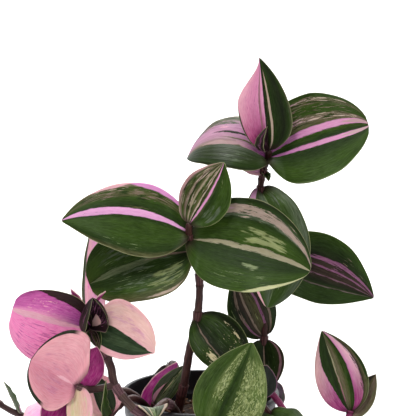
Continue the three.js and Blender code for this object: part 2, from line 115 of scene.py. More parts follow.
STEMS["pink_left"] = dict(
    radius=2.9, taper=0.75, joints=[2, 4, 5, 7],
    route=[(-9, -13, 46), (-12, -24, 74), (-19.7, -46, 91.5), (-29, -58, 88), (-37, -60, 93),
           (-47.5, -57, 105.6), (-50, -55, 116), (-55, -53, 127), (-61, -51, 136), (-65, -50, 143)],
    leaves=[
        leaf(8, 190, 17, 46, 43, "magenta_pink", droop=20, roll=-82, tip=0.4, skew=0.2, wave=1.2),
        leaf(8, -36, -2, 42, 33, "pale_pink_green", slide=-3, droop=10, roll=66, turn=-6, tip=0.8,
             lean=-0.08, skew=0.4, wave=1.2),
        leaf(8, 96, 42, 80, 15, "pink_grey_edge", slide=-3, droop=-6, roll=4, twist=44),
        leaf(3, 280, 62, 23, 17.4, "pale_margin", slide=-2, droop=110),
    ],
    buds=[
        leaf(9, 296, 58, 19, 38, "dark_bud", slide=-3, roll=178, tip=0.4, fold=8, cup=116),
        leaf(8, 300, -40, 14, 10, "dark_stripes", roll=20, fold=40),
        leaf(9, 200, 66, 19, 7, "pale_pink", roll=40, fold=30),
        leaf(9, 20, 48, 19, 6, "pale_pink", roll=-40, fold=30),
    ],
)
STEMS["pink_side"] = dict(
    branch_of="pink_left", radius=2.1, taper=0.9, joints=[3],
    route=[(-47.5, -57, 105.6), (-56, -60, 104.5), (-63, -64, 105), (-69, -67, 108)],
    leaves=[
        leaf(3, 218, 36, 32, 48, "pale_pink_dark_edge", droop=15, roll=-86, tip=0.5, skew=-0.15, wave=1.2),
        leaf(3, 20, 70, 25, 21, "pale_pink", slide=-5, roll=-85),
        leaf(3, 200, -60, 34, 24, "pale_pink", droop=10, roll=100),
    ],
    young=[
        leaf(3, 275, -45, 33, 15, "cream", slide=-3, droop=30),
    ],
)
STEMS["short_left"] = dict(
    radius=2.3, taper=0.8, joints=[2, 3],
    route=[(-27, -8, 46), (-31, -10.5, 64), (-31.5, -12.5, 73), (-27, -13, 81)],
    leaves=[
        leaf(2, 33, 55, 37, 20, "painted_light_back", roll=-97, widest=0.34),
        leaf(3, -1, 53, 30, 13, "grey_pink_tip", roll=75),
    ],
)
STEMS["front"] = dict(
    radius=2.3, taper=0.8, joints=[2, 4, 5],
    route=[(4, -14, 46), (6, -22, 72), (7, -45, 91), (7, -57, 88), (7, -63, 79), (6, -66, 66)],
    leaves=[
        leaf(4, 29, 60, 56, 42, "bright_mottled", roll=65, turn=4, wave=1.2),
        leaf(5, 215, -10, 46, 28, "pale_rib", slide=-4, droop=60),
        leaf(5, 300, -30, 44, 28, "two_beige_stripes", droop=45),
    ],
)
STEMS["front_right"] = dict(
    radius=2.2, taper=0.8, joints=[2, 3, 4],
    route=[(18, -12, 46), (22, -20, 72), (31, -36, 91), (40, -46, 85), (44, -52, 74)],
    leaves=[
        leaf(2, 335, 68, 23, 23, "pink_edge", roll=-60),
        leaf(3, 290, 10, 40, 26, "plain_green", droop=60, roll=10),
        leaf(4, 200, -30, 38, 25, "dark_stripes", slide=-2, droop=40),
        leaf(4, 325, -46, 36, 25, "cream_flecks", droop=26),
    ],
)
STEMS["right"] = dict(
    radius=2.2, taper=0.85, joints=[4, 6, 7],
    route=[(24, -4, 46), (31, -12, 74), (40.5, -22, 91), (49, -29, 83), (58, -30, 68), (74, -24, 62),
           (87, -16, 67), (90, -14, 77)],
    leaves=[
        leaf(7, 150, 75, 51, 34, "broad_pink_stripes", roll=-60, turn=14, fold=25),
        leaf(7, 32, 48, 31, 17, "olive_pink", slide=-4, droop=-35, roll=45, fold=18),
        leaf(6, 350, 0, 42, 28, "one_pink_stripe", droop=60),
        leaf(4, 70, -20, 40, 28, "plain_green", droop=40),
    ],
)
STEMS["left"] = dict(
    radius=2.2, taper=0.8, joints=[4, 5, 7],
    route=[(-24, 2, 46), (-31, -5, 74), (-44, -13, 89), (-57, -18, 88), (-80, -20, 79), (-100, -20, 75),
           (-114, -20, 80), (-124, -20, 88)],
    leaves=[
        leaf(5, 180, 66, 22, 12, "grey_green", slide=7),
        leaf(4, 235, 25, 36, 24, "pale_pink", droop=60),
        leaf(7, 150, 50, 32, 22, "two_pink_stripes", droop=50),
        leaf(7, 230, 0, 34, 24, "dark_stripes", slide=-4, droop=50),
    ],
)
STEMS["front_left"] = dict(
    radius=2.3, taper=0.8, joints=[3, 4, 5],
    route=[(-25, -14, 46), (-28, -18, 74), (-39, -29, 89.4), (-52, -38, 82), (-59, -44, 66), (-62, -47, 52)],
    leaves=[
        leaf(3, 170, 60, 26, 26, "pale_pink_green", roll=-70, tip=0.5),
        leaf(4, 215, 0, 44, 30, "many_stripes", droop=60),
        leaf(5, 295, -20, 42, 28, "pale_pink_dark_edge", slide=-5, droop=50),
        leaf(5, 200, -40, 36, 24, "mauve_lines", droop=30),
    ],
    buds=[
        leaf(3, 260, 12, 49, 10, "plain_green", roll=-106, turn=-66),
    ],
)
STEMS["back_right"] = dict(
    radius=2.3, taper=0.8, joints=[3, 4, 5],
    route=[(18, 18, 46), (20, 26, 74), (24, 42, 91), (27, 55, 83), (28, 62, 68), (28, 65, 52)],
    leaves=[
        leaf(3, 30, -20, 44, 28, "one_pink_stripe", droop=50),
        leaf(4, 130, 0, 50, 32, "many_stripes", droop=60),
        leaf(5, 60, -20, 42, 26, "two_beige_stripes", slide=-4, droop=50),
        leaf(5, 170, -40, 38, 26, "plain_green", droop=30),
    ],
)
STEMS["back_left"] = dict(
    radius=2.3, taper=0.8, joints=[3, 4],
    route=[(-12, 18, 46), (-13, 26, 74), (-16, 43, 89.4), (-20, 56, 84), (-22, 63, 70)],
    leaves=[
        leaf(3, 162, -32, 46, 30, "two_pink_stripes", droop=45),
        leaf(4, 70, -10, 42, 28, "cream_flecks", droop=60),
    ],
)

# Colours are sRGB, with two hexadecimal digits for each of red, green and blue.
GREEN = "304610"
DEEP = "23350e"
DARK = "1b2110"
OLIVE = "545232"
BROWN = "342921"
DUSKY = "786656"
BEIGE = "b49e8a"
CREAM = "d2c696"
LIME = "949e62"
PALE_GREEN = "68784c"
GREY_GREEN = "4e5a42"
PINK = "d890ba"
PALE_PINK = "eaacb8"
ROSE = "de70ac"
MAUVE = "804e6c"
MAGENTA = "a0246e"
MARGIN_COLOUR = "b0b27c"
# A leaf's painted shade where it meets its stem, dark purple-brown as its own base is there.
STEM_SHADE = "342022"

# How a leaf is coloured, by its place across, from -1 at its right edge to 1 at its left edge, and its place
# along, from 0 at the stem to 1 at the tip.
#   ground   places across the leaf and the colours there, which blend into each other
#   stripes  colour, its two edges at the stem, its two edges at the tip, and, if it doesn't run all the way,
#            where along the leaf it starts and ends
#   flecks   colour, the part across and then along that they cover, how dense they are, and their kind if
#            they aren't streaks; the first, third and so on are under the stripes, and the others over them
#   flush    a colour near the stem, the length at which it has faded, and the half that has it: 1 for the
#            left one, -1 for the right one, 0 for both
#   border   a colour along the edge, its width in millimetres, and the length from which it runs to the tip
#   ragged   how uneven the stripes' edges are, 1 for most leaves
#   under    the leaf's underside, green for most leaves
LOOKS = {}
LOOKS["plain_green"] = dict(
    ground={-1: GREEN, -0.5: DEEP, -0.2: GREEN, 0.1: DEEP, 0.6: GREEN, 1: DEEP},
    stripes=[(PALE_GREEN, -0.02, 0.02, -0.02, 0.02, 0, 0.9)],
    flecks=[(PALE_GREEN, -0.9, -0.5, 0.3, 0.7, 0.1), (PALE_GREEN, 0.3, 0.5, 0.4, 0.8, 0.2, "patch")],
)
LOOKS["cream_flecks"] = dict(
    ground={-1: DEEP, -0.6: GREEN, -0.3: DARK, 0.1: DEEP, 0.5: GREEN, 0.8: DARK, 1: DEEP},
    stripes=[(DUSKY, -0.3, -0.24, -0.5, -0.45, 0, 0.95)],
    flecks=[(CREAM, -0.85, -0.42, 0.38, 0.8, 0.5, "blot"), (CREAM, 0.6, 0.74, 0.22, 0.74, 0.75, "blot"),
            (CREAM, 0.04, 0.2, 0.56, 0.84, 0.7, "blot"), (DARK, -0.2, 0.6, 0.1, 0.9, 0.05),
            (GREY_GREEN, -0.9, 0.9, 0.1, 0.9, 0), (CREAM, -0.9, -0.3, 0.3, 0.9, 0, "net"),
            (CREAM, 0, 0.8, 0.3, 0.9, -0.1, "net")],
    ragged=1.3,
)
LOOKS["pale_rib"] = dict(
    ground={-1: DEEP, -0.7: GREEN, -0.3: GREEN, 0.1: DEEP, 0.4: DEEP, 0.7: GREEN, 1: OLIVE},
    stripes=[("586442", -0.02, 0.03, -0.1, 0.12, 0.12, 1.05), (DUSKY, -0.02, 0.02, -0.02, 0.02, -1, 0.5),
             (BEIGE, 0.9, 0.96, 0.88, 0.95, 0.08, 0.55)],
    flecks=[("707a48", 0.25, 0.85, 0.06, 0.5, 0.5, "patch"), (CREAM, 0.5, 0.72, 0.1, 0.3, 0.1, "blot"),
            (PALE_GREEN, -0.9, 0.7, 0.3, 0.9, 0), (BEIGE, -0.44, -0.34, 0.56, 0.62, 0.6, "blot"),
            (GREY_GREEN, -0.8, 0.8, 0.1, 0.9, 0.15, "patch")],
)
LOOKS["one_pink_stripe"] = dict(
    ground={-1: DUSKY, -0.93: OLIVE, -0.82: GREEN, -0.66: OLIVE, -0.54: GREEN, -0.36: DEEP, -0.1: DEEP,
            0.15: GREEN, 0.55: GREEN, 0.85: DEEP, 1: OLIVE},
    stripes=[("e29ecc", -0.17, -0.08, -0.36, -0.05, -0.3, 1.14),
             ("ce82b8", -1.1, -0.82, -1.1, -0.86, -0.05, 0.56),
             ("ce98a0", -1.1, -0.84, -1.1, -0.88, 0.42, 0.84)],
    flecks=[(DUSKY, -0.96, -0.5, 0.1, 0.9, 0.25), (DEEP, -0.9, -0.4, 0.05, 0.95, 0.2),
            (OLIVE, -0.4, -0.2, 0.2, 0.9, 0.25), (BROWN, -0.24, -0.02, 0.66, 0.95, 0.2, "blot"),
            (BEIGE, -0.96, -0.68, 0.2, 0.85, 0.1), (PALE_GREEN, 0.55, 0.95, 0.25, 0.8, 0.02)],
    ragged=0.8,
)
LOOKS["two_beige_stripes"] = dict(
    ground={-1: GREEN, -0.6: GREEN, -0.35: DEEP, -0.05: DEEP, 0.15: GREEN, 0.42: GREEN, 0.56: DEEP,
            0.62: GREY_GREEN, 0.7: GREY_GREEN, 0.9: DEEP, 1: DARK},
    stripes=[("a08c7e", 0.68, 0.88, 0.62, 0.78), ("b88e98", 0.7, 0.85, 0.64, 0.8, -1, 0.36),
             ("9c9476", -0.02, 0.02, -0.06, 0.13), ("bebe8c", -1.1, -0.93, -1.1, -0.88, 0.5, 1.1)],
    flecks=[("88905c", 0.08, 0.46, 0.4, 0.8, 0.7, "patch"), (BEIGE, 0.5, 0.95, 0.1, 0.9, 0),
            ("7e8a60", -0.55, -0.3, 0.45, 0.7, 0.5, "patch"), (DEEP, 0.6, 0.9, 0.2, 0.95, 0.14),
            (PALE_GREEN, -0.9, -0.5, 0.2, 0.9, 0.02), (CREAM, -0.05, 0.1, 0.35, 0.9, 0.12)],
    ragged=1.2,
)
LOOKS["many_stripes"] = dict(
    ground={-1: GREEN, -0.6: GREEN, -0.28: DEEP, -0.08: OLIVE, 0.02: DEEP, 0.12: OLIVE, 0.24: GREEN,
            0.36: OLIVE, 0.46: DEEP, 0.6: OLIVE, 0.72: GREEN, 0.86: DUSKY, 1: "a07a78"},
    stripes=[(PINK, -0.1, -0.03, -0.24, -0.13), (BEIGE, 0.05, 0.1, 0.03, 0.09),
             ("96886e", 0.26, 0.34, 0.24, 0.32), (DUSKY, 0.5, 0.58, 0.5, 0.6),
             ("aa807e", 0.88, 1.1, 0.84, 1.1, 0.1, 0.95)],
    flecks=[(GREY_GREEN, -0.85, -0.3, 0.08, 0.5, 0.35, "patch"), (BEIGE, 0, 0.9, 0.1, 0.95, 0.1),
            (LIME, -0.6, -0.35, 0.4, 0.95, 0.05), (DARK, -0.1, 0.95, 0.05, 0.95, 0.16)],
    ragged=1.2,
)
LOOKS["pink_edge"] = dict(
    ground={-1: DARK, -0.5: DEEP, 0: DARK, 0.5: DEEP, 1: BROWN},
    stripes=[("866064", 0.74, 0.86, 0.74, 0.86), (DUSKY, -0.04, 0.02, -0.04, 0.04)],
    flecks=[(CREAM, 0.1, 0.5, 0.5, 0.9, 0.08, "blot"), (GREY_GREEN, -0.6, 0.6, 0.2, 0.9, 0.02)],
    under="dark",
)
LOOKS["dark_stripes"] = dict(
    ground={-1: DARK, -0.75: DEEP, -0.4: BROWN, -0.15: "4a4828", 0.05: "423e26", 0.3: BROWN, 0.6: DARK,
            0.85: DEEP, 1: GREEN},
    stripes=[(DUSKY, 0.44, 0.54, 0.5, 0.62), (DUSKY, 0.14, 0.22, 0.2, 0.3),
             (MAUVE, -0.34, -0.22, -0.4, -0.3), (DUSKY, -0.68, -0.56, -0.7, -0.6),
             (MAUVE, 0.44, 0.52, 0.5, 0.6, -1, 0.4)],
    flecks=[(LIME, -0.15, 0.1, 0.1, 0.8, 0.05), (DARK, -0.9, 0.9, 0.1, 0.95, 0.1),
            (PALE_GREEN, 0.6, 1, 0.3, 0.9, 0.05)],
)
LOOKS["mauve_lines"] = dict(
    ground={-1: DEEP, -0.5: DEEP, -0.3: DARK, -0.1: BROWN, 0.2: BROWN, 0.4: DARK, 0.7: DEEP, 1: GREEN},
    stripes=[(MAUVE, 0.25, 0.31, 0.32, 0.46), (MAUVE, 0.09, 0.12, 0.11, 0.16),
             ("704e5c", -0.14, -0.11, -0.14, -0.1), ("584c46", -0.44, -0.42, -0.44, -0.4)],
    flecks=[(MAUVE, 0, 0.45, 0.35, 1, 0.06), (CREAM, 0.66, 0.74, 0.5, 0.6, 0.3, "blot"),
            (DUSKY, 0.3, 0.8, 0.5, 1, 0.02), (DARK, 0.2, 0.5, 0.2, 0.9, 0.1)],
    ragged=0.9,
)
LOOKS["grey_green"] = dict(
    ground={-1: GREEN, -0.6: GREEN, -0.2: GREY_GREEN, 0.1: GREEN, 0.5: GREEN, 0.9: GREY_GREEN, 1: DEEP},
    stripes=[("b07e9c", -0.9, -0.55, -0.8, -0.55, -1, 0.3), (PALE_PINK, -1.1, -0.9, -1.1, -0.76, 0.74, 2),
             (PALE_GREEN, -0.02, 0.02, -0.02, 0.02)],
    flecks=[(PALE_GREEN, -0.7, 0.7, 0.4, 0.95, 0.04), (GREY_GREEN, -0.8, 0.9, 0, 0.6, 0.2, "patch")],
)
LOOKS["half_lilac"] = dict(
    ground={-1: "54543e", -0.84: "706258", -0.72: "ac7e98", -0.42: "b886a0", -0.2: "a67e8e", -0.08: "8e7e70",
            -0.01: "605c46", 0.02: "223010", 0.5: "263214", 0.85: DEEP, 1: DARK},
    stripes=[(DARK, -0.42, -0.35, -0.46, -0.41, 0.08, 0.7), ("b0908e", -0.13, -0.02, -0.1, 0, -1, 0.8),
             (OLIVE, -0.24, -0.19, -0.24, -0.2, 0, 0.6)],
    flecks=[(GREY_GREEN, -1, -0.6, 0.3, 0.95, 0.4), (DEEP, -1, -0.66, 0.2, 0.9, 0.2),
            (GREY_GREEN, 0.1, 0.8, 0.1, 0.6, 0.05, "patch"), (PALE_PINK, -0.9, -0.5, 0.3, 0.9, 0.02)],
    flush=("8c3480", 0.5, -1),
)
LOOKS["two_pink_stripes"] = dict(
    ground={-1: PALE_GREEN, -0.95: GREEN, -0.6: GREEN, -0.3: DEEP, 0.02: DEEP, 0.12: GREEN, 0.36: OLIVE,
            0.48: DUSKY, 0.56: GREEN, 0.72: GREEN, 0.84: OLIVE, 0.92: GREEN, 1: DEEP},
    stripes=[(PINK, -0.12, -0.05, -0.21, -0.04), (PINK, 0.1, 0.2, 0.21, 0.4),
             ("c49ea2", -0.11, -0.06, -0.2, -0.05, 0.68, 2), ("be989a", 0.12, 0.18, 0.23, 0.38, 0.7, 2)],
    flecks=[("c4ae9a", 0.34, 0.58, 0.05, 1, 0.32), (DEEP, 0.3, 0.62, 0.05, 0.95, 0.25),
            ("c4ae9a", 0.74, 0.96, 0.1, 0.95, 0.32), (DEEP, 0.7, 1, 0.1, 0.95, 0.2),
            (DUSKY, 0.36, 0.98, 0.05, 0.97, 0.14), (CREAM, -0.6, -0.54, 0.35, 0.62, 0.6),
            (PALE_GREEN, -0.5, -0.3, 0.6, 0.95, 0.05)],
    flush=("a05492", 0.6, 0), ragged=0.6,
)
LOOKS["half_pink"] = dict(
    ground={-1: "505238", -0.88: DEEP, -0.7: DARK, -0.3: DEEP, -0.2: DEEP, -0.02: DARK, 0: "d892b4",
            0.3: "d680a8", 0.6: "dc8aaa", 1: PALE_PINK},
    stripes=[(BEIGE, -0.3, -0.21, -0.22, -0.15, -1, 0.92), ("94686c", 0.12, 0.18, 0.1, 0.19, 0.1, 1),
             (DARK, 0.93, 1.1, 0.96, 1.1, -1, 0.6)],
    flecks=[(OLIVE, -0.2, 0, 0.1, 1, 0.1), (PALE_PINK, 0.3, 0.9, 0.5, 1, 0.02),
            ("bc6a92", 0.1, 0.9, 0.1, 0.8, 0.05)],
    flush=("9e1668", 0.62, 1), ragged=0.5,
)
LOOKS["magenta_pink"] = dict(
    ground={-1: "8c3874", -0.8: "ba4c96", -0.3: "ce60a8", -0.05: "e896b8", 0.1: "f080b8", 0.6: "f484ba",
            1: "e88ab4"},
    stripes=[("e4a6b6", -0.05, 0.03, -0.1, 0.12), ("301e1e", -1.1, -0.46, -1.1, -0.99, -1, 0.8)],
    flecks=[(PALE_PINK, -0.75, -0.1, 0.3, 0.9, 0, "net"), (PALE_PINK, -0.7, -0.1, 0.4, 0.9, 0, "blot"),
            ("cc5e9c", 0.1, 1, 0.1, 0.95, 0.2)],
    flush=("842e82", 0.6, -1), under="magenta",
)
LOOKS["pale_pink_green"] = dict(
    ground={-1: "e8a8b0", -0.3: "e6acb0", 0.4: "e8b6b0", 0.8: "eabcb0", 1: "e8a6ae"},
    stripes=[("2a3a24", -0.6, 0.42, -0.72, 0, -1, 1.06), ("38482e", -0.2, 0.25, -0.42, -0.12, -1, 1)],
    flecks=[("d89aa8", -1, 1, 0.1, 0.9, 0.15, "patch"), ("707c5c", -0.1, 0.12, 0.08, 0.4, 0.2),
            (DUSKY, 0.5, 0.56, 0.38, 0.5, 0.4, "blot")],
    ragged=0.4, under="magenta",
)
LOOKS["pink_grey_edge"] = dict(
    ground={-1: PALE_PINK, -0.3: PINK, 0.5: PALE_PINK, 1: PINK},
    stripes=[(GREY_GREEN, 0.74, 0.88, 0.74, 0.88), (DARK, 0.88, 1.1, 0.88, 1.1)],
    flecks=[(ROSE, -0.9, 0.6, 0.1, 0.8, 0.1, "patch")],
    ragged=0.4, under="magenta",
)
LOOKS["pale_pink_dark_edge"] = dict(
    ground={-1: "e6a2a8", -0.4: "e098a2", 0.1: "d48496", 0.6: "d88a98", 1: "e6a2a8"},
    stripes=[(PALE_PINK, -0.04, 0.04, -0.04, 0.04, 0, 0.5)],
    flecks=[("c87c94", -0.5, 0.7, 0.2, 0.9, 0.2, "patch")],
    border=("2a2e20", 2.2, 0.52), ragged=0.4, under="magenta",
)
LOOKS["pale_pink"] = dict(
    ground={-1: PALE_PINK, -0.1: PINK, 0.3: PALE_PINK, 1: PALE_PINK},
    flecks=[(PINK, -0.8, 0.8, 0.1, 0.8, 0.2, "patch")],
    under="magenta",
)
# A pale pink leaf whose underside is painted light, a brighter copy of the magenta one for a shaded leaf.
LOOKS["painted_light_back"] = dict(
    ground={-1: PALE_PINK, -0.1: ROSE, 0.3: PINK, 1: PALE_PINK},
    flecks=[(PINK, -0.8, 0.8, 0.1, 0.8, 0.2, "patch")],
    under="bright",
)
LOOKS["cream"] = dict(
    ground={-1: "e2b2a2", -0.2: "dac09c", 0.4: "e6aca6", 1: PALE_PINK},
    flecks=[(CREAM, -0.8, 0.8, 0.1, 0.8, 0.15, "patch")],
    under="magenta",
)
LOOKS["grey_pink_tip"] = dict(
    ground={-1: GREEN, -0.5: GREY_GREEN, -0.1: PALE_GREEN, 0.15: GREY_GREEN, 0.3: OLIVE, 0.4: PALE_PINK,
            1: PINK},
    stripes=[(GREY_GREEN, 0.96, 1.1, -0.3, 1.1), (CREAM, 0, 0.05, -0.1, -0.02, 0.2, 1),
             (DEEP, 0.28, 0.36, 0.1, 0.2, 0.1, 1)],
    flecks=[(CREAM, -0.3, 0.9, 0.5, 0.95, 0.1), (DEEP, -0.8, 0.3, 0.1, 0.9, 0.25)],
)
LOOKS["pale_margin"] = dict(
    ground={-1: BEIGE, -0.86: BEIGE, -0.78: DARK, -0.6: GREY_GREEN, 0: PALE_GREEN, 0.5: GREY_GREEN,
            0.74: DEEP, 0.82: BEIGE, 1: BEIGE},
    stripes=[(DEEP, 0.3, 0.36, 0.2, 0.3), (BEIGE, -0.4, -0.35, -0.4, -0.3)],
    flecks=[(CREAM, -0.6, 0.6, 0.1, 0.9, 0.05), (DEEP, -0.7, 0.7, 0.1, 0.9, 0.2)],
)
LOOKS["bright_mottled"] = dict(
    ground={-1: "546632", -0.7: "4e622c", -0.2: "3e5024", 0: DEEP, 0.12: GREEN, 0.35: "4e602c", 0.6: GREEN,
            1: "425622"},
    stripes=[(DEEP, -0.05, 0.05, -0.04, 0.03, -1, 0.92)],
    flecks=[("7e8a52", -1, -0.1, -0.1, 0.9, 0.4, "haze"), ("a6ae76", -0.9, -0.1, -0.1, 0.88, 0.12, "net"),
            ("7e8a52", 0.1, 0.5, 0.3, 1, 0.4, "haze"), ("a6ae76", 0.08, 0.5, 0.25, 0.98, 0.1, "net"),
            ("8e985e", -1, -0.1, -0.1, 0.92, 0.3, "net"), (GREEN, -0.95, 0.5, 0, 1, 0.08, "net"),
            ("8e985e", 0.08, 0.5, 0.25, 1, 0.3, "net"), ("b29474", -0.46, -0.28, 0.3, 0.45, 0.25, "blot")],
)
LOOKS["broad_pink_stripes"] = dict(
    ground={-1: "323a22", -0.86: OLIVE, -0.76: BROWN, -0.7: "f4c0c8", -0.5: "eeacc8", -0.38: "e28cba",
            -0.35: DEEP, -0.2: GREEN, -0.1: "5c5c38", 0: "6c644a", 0.1: "585a38", 0.16: DEEP, 0.34: DARK,
            0.38: "d48ab4", 0.7: "d6a4aa", 1: "deaca8"},
    stripes=[("b0aa82", 0.1, 0.14, 0.1, 0.14, 0, 0.92), (DEEP, -1.1, -0.9, -1.1, -0.86, 0.2, 0.8),
             (DEEP, 0.3, 0.22, 0.3, 0.9)],
    flecks=[(DUSKY, -0.9, -0.6, 0.2, 0.9, 0.1), (BROWN, -0.95, -0.62, 0.1, 0.9, 0.1),
            ("b28894", 0.5, 0.95, 0.3, 0.9, 0.15, "patch"), (DUSKY, -0.12, 0.14, 0.1, 0.95, 0.1)],
    flush=("8c1064", 0.72, 0), ragged=0.9,
)
LOOKS["olive_pink"] = dict(
    ground={-1: OLIVE, -0.4: DUSKY, 0: OLIVE, 0.2: BROWN, 0.7: DARK, 1: OLIVE},
    stripes=[(PALE_PINK, 0.9, 1.1, 0.9, 1.1), (DUSKY, -0.3, -0.2, -0.3, -0.2)],
    flecks=[(PALE_GREEN, -0.9, 0.1, 0.2, 0.9, 0.08)],
    flush=(MAGENTA, 0.3, 0),
)
LOOKS["dark_bud"] = dict(
    ground={-1: "2e2820", -0.4: "221016", 0.2: "1e0c12", 1: "2e2820"},
    flecks=[("784262", -0.9, 0.9, 0, 1, 0.2)],
    under="bud",
)

# Two colours that an underside is mixed from, and the colour of its edge.
# The bright underside is painted light: a lighter copy of the magenta one, for a leaf in shade.
UNDERSIDES = dict(
    green=("4a2c42", "3c4034", MAUVE), magenta=("801a58", "a42a74", PALE_PINK),
    bright=("d23ca0", "ec60c0", PALE_PINK), dark=("222620", "2c322a", MAUVE),
    bud=("1e0d12", "2a181c", "684254"),
)
PINK_UNDERSIDES = ("magenta", "bright")  # those of the leaves that are passed on as pink ones
# Two colours that a stem is mixed from, and the colours of its sheaths and joints.
STEM_SKINS = dict(
    brown=("321714", "4a2b24", "583432", "2a1014"), green_brown=("3e2828", "58443a", "68484c", "361a20"),
    magenta=("681e42", "88345c", "a04474", "541434"),
)
STEM_LOOKS = dict(pink_left="green_brown", right="magenta", left="green_brown", front="green_brown")
SOIL_MIX = [  # name, two colours, how fine its patches are, and its roughness
    ("soil_crumbs", "1e1712", "403024", 170, 0.95), ("pale_grains", "b0a898", "d6d0c4", 400, 0.9),
    ("bark_chips", "422a1a", "704e32", 260, 0.85),
]
LEAF_GLOSS = 0.09
VEINS = 13  # on each half of a leaf
MARGIN = 0.4  # width in millimetres of a leaf's pale edge
TAPER = 0.22  # share of a leaf's length over which a stripe narrows to its end
STRIPE_EDGE = 0.012  # half the width over which a stripe's edge is soft
# Painted shade where a leaf meets its stem, over the leaf's own dark purple base.
BASE_SHADE = (0.09, 0.75)  # the length up to which a leaf is darker at its stem, and how much
FLECKS = dict(  # length and width of a fleck in millimetres, and how soft its edge is
    streak=(9, 0.8, 0.03), patch=(14, 3, 0.1), net=(1.8, 0.9, 0.05), blot=(5, 1.5, 0.03), haze=(14, 5, 0.4),
)


def rgb(code):
    """A colour's code in Blender's linear values."""
    parts = [int(code[i:i + 2], 16) for i in (0, 2, 4)]
    linear = [((c / 255 + 0.055) / 1.055) ** 2.4 if c > 10 else c / 255 / 12.92 for c in parts]
    return (*linear, 1)


class Value:
    """A node's output. A sum, difference, product or quotient of it adds a maths node."""

    def __init__(self, tree, socket):
        self.tree = tree
        self.socket = socket

    def __add__(self, other):
        return self.tree.math("ADD", self, other)

    def __sub__(self, other):
        return self.tree.math("SUBTRACT", self, other)

    def __mul__(self, other):
        return self.tree.math("MULTIPLY", self, other)

    def __truediv__(self, other):
        return self.tree.math("DIVIDE", self, other)


class Tree:
    """A material's nodes. Each of the calls from attribute to ground returns the output of a new node."""

    def __init__(self, name):
        self.material = bpy.data.materials.new(name)
        self.material.use_nodes = True
        self.nodes = self.material.node_tree.nodes
        self.shader = self.nodes["Principled BSDF"]

    def put(self, value, socket):
        if isinstance(value, Value):
            self.material.node_tree.links.new(value.socket, socket)
        else:
            socket.default_value = rgb(value) if isinstance(value, str) else value

    def add(self, kind, output, inputs, **settings):
        node = self.nodes.new(f"ShaderNode{kind}")
        for key, value in settings.items():
            setattr(node, key, value)
        for key, value in inputs.items():
            self.put(value, node.inputs[key])
        return Value(self, node.outputs[output])

    def attribute(self, name):
        return self.add("Attribute", "Fac", {}, attribute_name=name)

    def position(self):
        return self.add("TexCoord", "Object", {})

    def math(self, operation, *values):
        return self.add("Math", 0, dict(enumerate(values)), operation=operation)

    def vector(self, *values):
        return self.add("CombineXYZ", 0, dict(enumerate(values)))

    def noise(self, where, scale, detail=3, roughness=0.5):
        inputs = dict(Vector=where, Scale=scale, Detail=detail, Roughness=roughness)
        return self.add("TexNoise", "Fac", inputs)

    def step(self, value, low, high):
        """0 where value is under low and 1 where it is over high, with a smooth change between them."""
        inputs = {"Value": value, "From Min": low, "From Max": high}
        return self.add("MapRange", "Result", inputs, interpolation_type="SMOOTHSTEP")

    def between(self, value, low, high, soft):
        """1 where value is from low to high."""
        return self.step(value, low - soft, low + soft) - self.step(value, high - soft, high + soft)

    def mix(self, share, first, second):
        return self.add("Mix", "Result", dict(Factor=share, A=first, B=second), data_type="RGBA")

    def shade(self, colour, value, saturation=1):
        return self.add("HueSaturation", "Color", dict(Color=colour, Value=value, Saturation=saturation))

    def bright(self, colour):
        return self.add("RGBToBW", "Val", dict(Color=colour))

    def ground(self, place, stops):
        """Colours that blend from each place to the next one, the first being at -1 and the last at 1."""
        blend = self.add("ValToRGB", "Color", dict(Fac=place * 0.5 + 0.5))
        ramp = blend.socket.node.color_ramp.elements
        ramp.remove(ramp[1])
        (_, first), *others = stops.items()
        ramp[0].color = rgb(first)
        for where, colour in others:
            ramp.new((where + 1) / 2).color = rgb(colour)
        return blend

    def bump(self, height, strength, distance):
        inputs = dict(Height=height, Strength=strength, Distance=distance)
        self.put(self.add("Bump", "Normal", inputs), self.shader.inputs["Normal"])

    def finish(self, colour, roughness, specular=0.5):
        self.put(colour, self.shader.inputs["Base Color"])
        self.put(roughness, self.shader.inputs["Roughness"])
        self.shader.inputs["Specular IOR Level"].default_value = specular
        return self.material


class LeafTree(Tree):
    """A leaf's nodes: its place along and across, long and short streaks, broad patches and vein lines."""

    def __init__(self, name):
        super().__init__(name)
        self.along, self.across = self.attribute("leaf_t"), self.attribute("leaf_v")
        self.edge, self.seed = self.attribute("leaf_edge"), self.attribute("leaf_seed")
        self.far = self.along * self.attribute("leaf_length")
        self.side = self.across * self.attribute("leaf_half")
        self.streaks = self.spots(9, 1.1, detail=5, roughness=0.65)
        self.fringe = self.spots(3.5, 0.6, roughness=0.6)
        self.sway = self.spots(16, 11, detail=2)
        self.veins = self.step(self.math("PINGPONG", self.across * VEINS, 0.5), 0.3, 0.5)

    def spots(self, length, width, seed=None, detail=3, roughness=0.5):
        """A noise whose spots are about length by width millimetres and run along the leaf."""
        where = self.vector(self.far / length, self.side / width, seed or self.seed)
        return self.noise(where, 1, detail, roughness)

    def satin(self, colour, rough):
        """The colour with the leaf's light and dark, its fine relief and its satin gloss."""
        cells = self.add("TexVoronoi", "Distance", dict(Vector=self.position(), Scale=2600))
        self.bump(cells * 0.35 + self.veins * 0.5 + self.streaks * 0.8, strength=0.22, distance=0.00035)
        light = self.veins * 0.06
        for layer, amount in ((self.sway, 0.8), (self.streaks, 1.5), (self.fringe, 1.3)):
            light = (layer - 0.5) * amount + light
        contrast = self.step(self.bright(colour), 0.35, 0.03) * 0.8 + 0.2
        shaded = self.shade(colour, light * contrast + 1, self.fringe * -0.5 + 1.2)
        return self.finish(shaded, self.streaks * 0.22 + (rough - 0.11), LEAF_GLOSS)


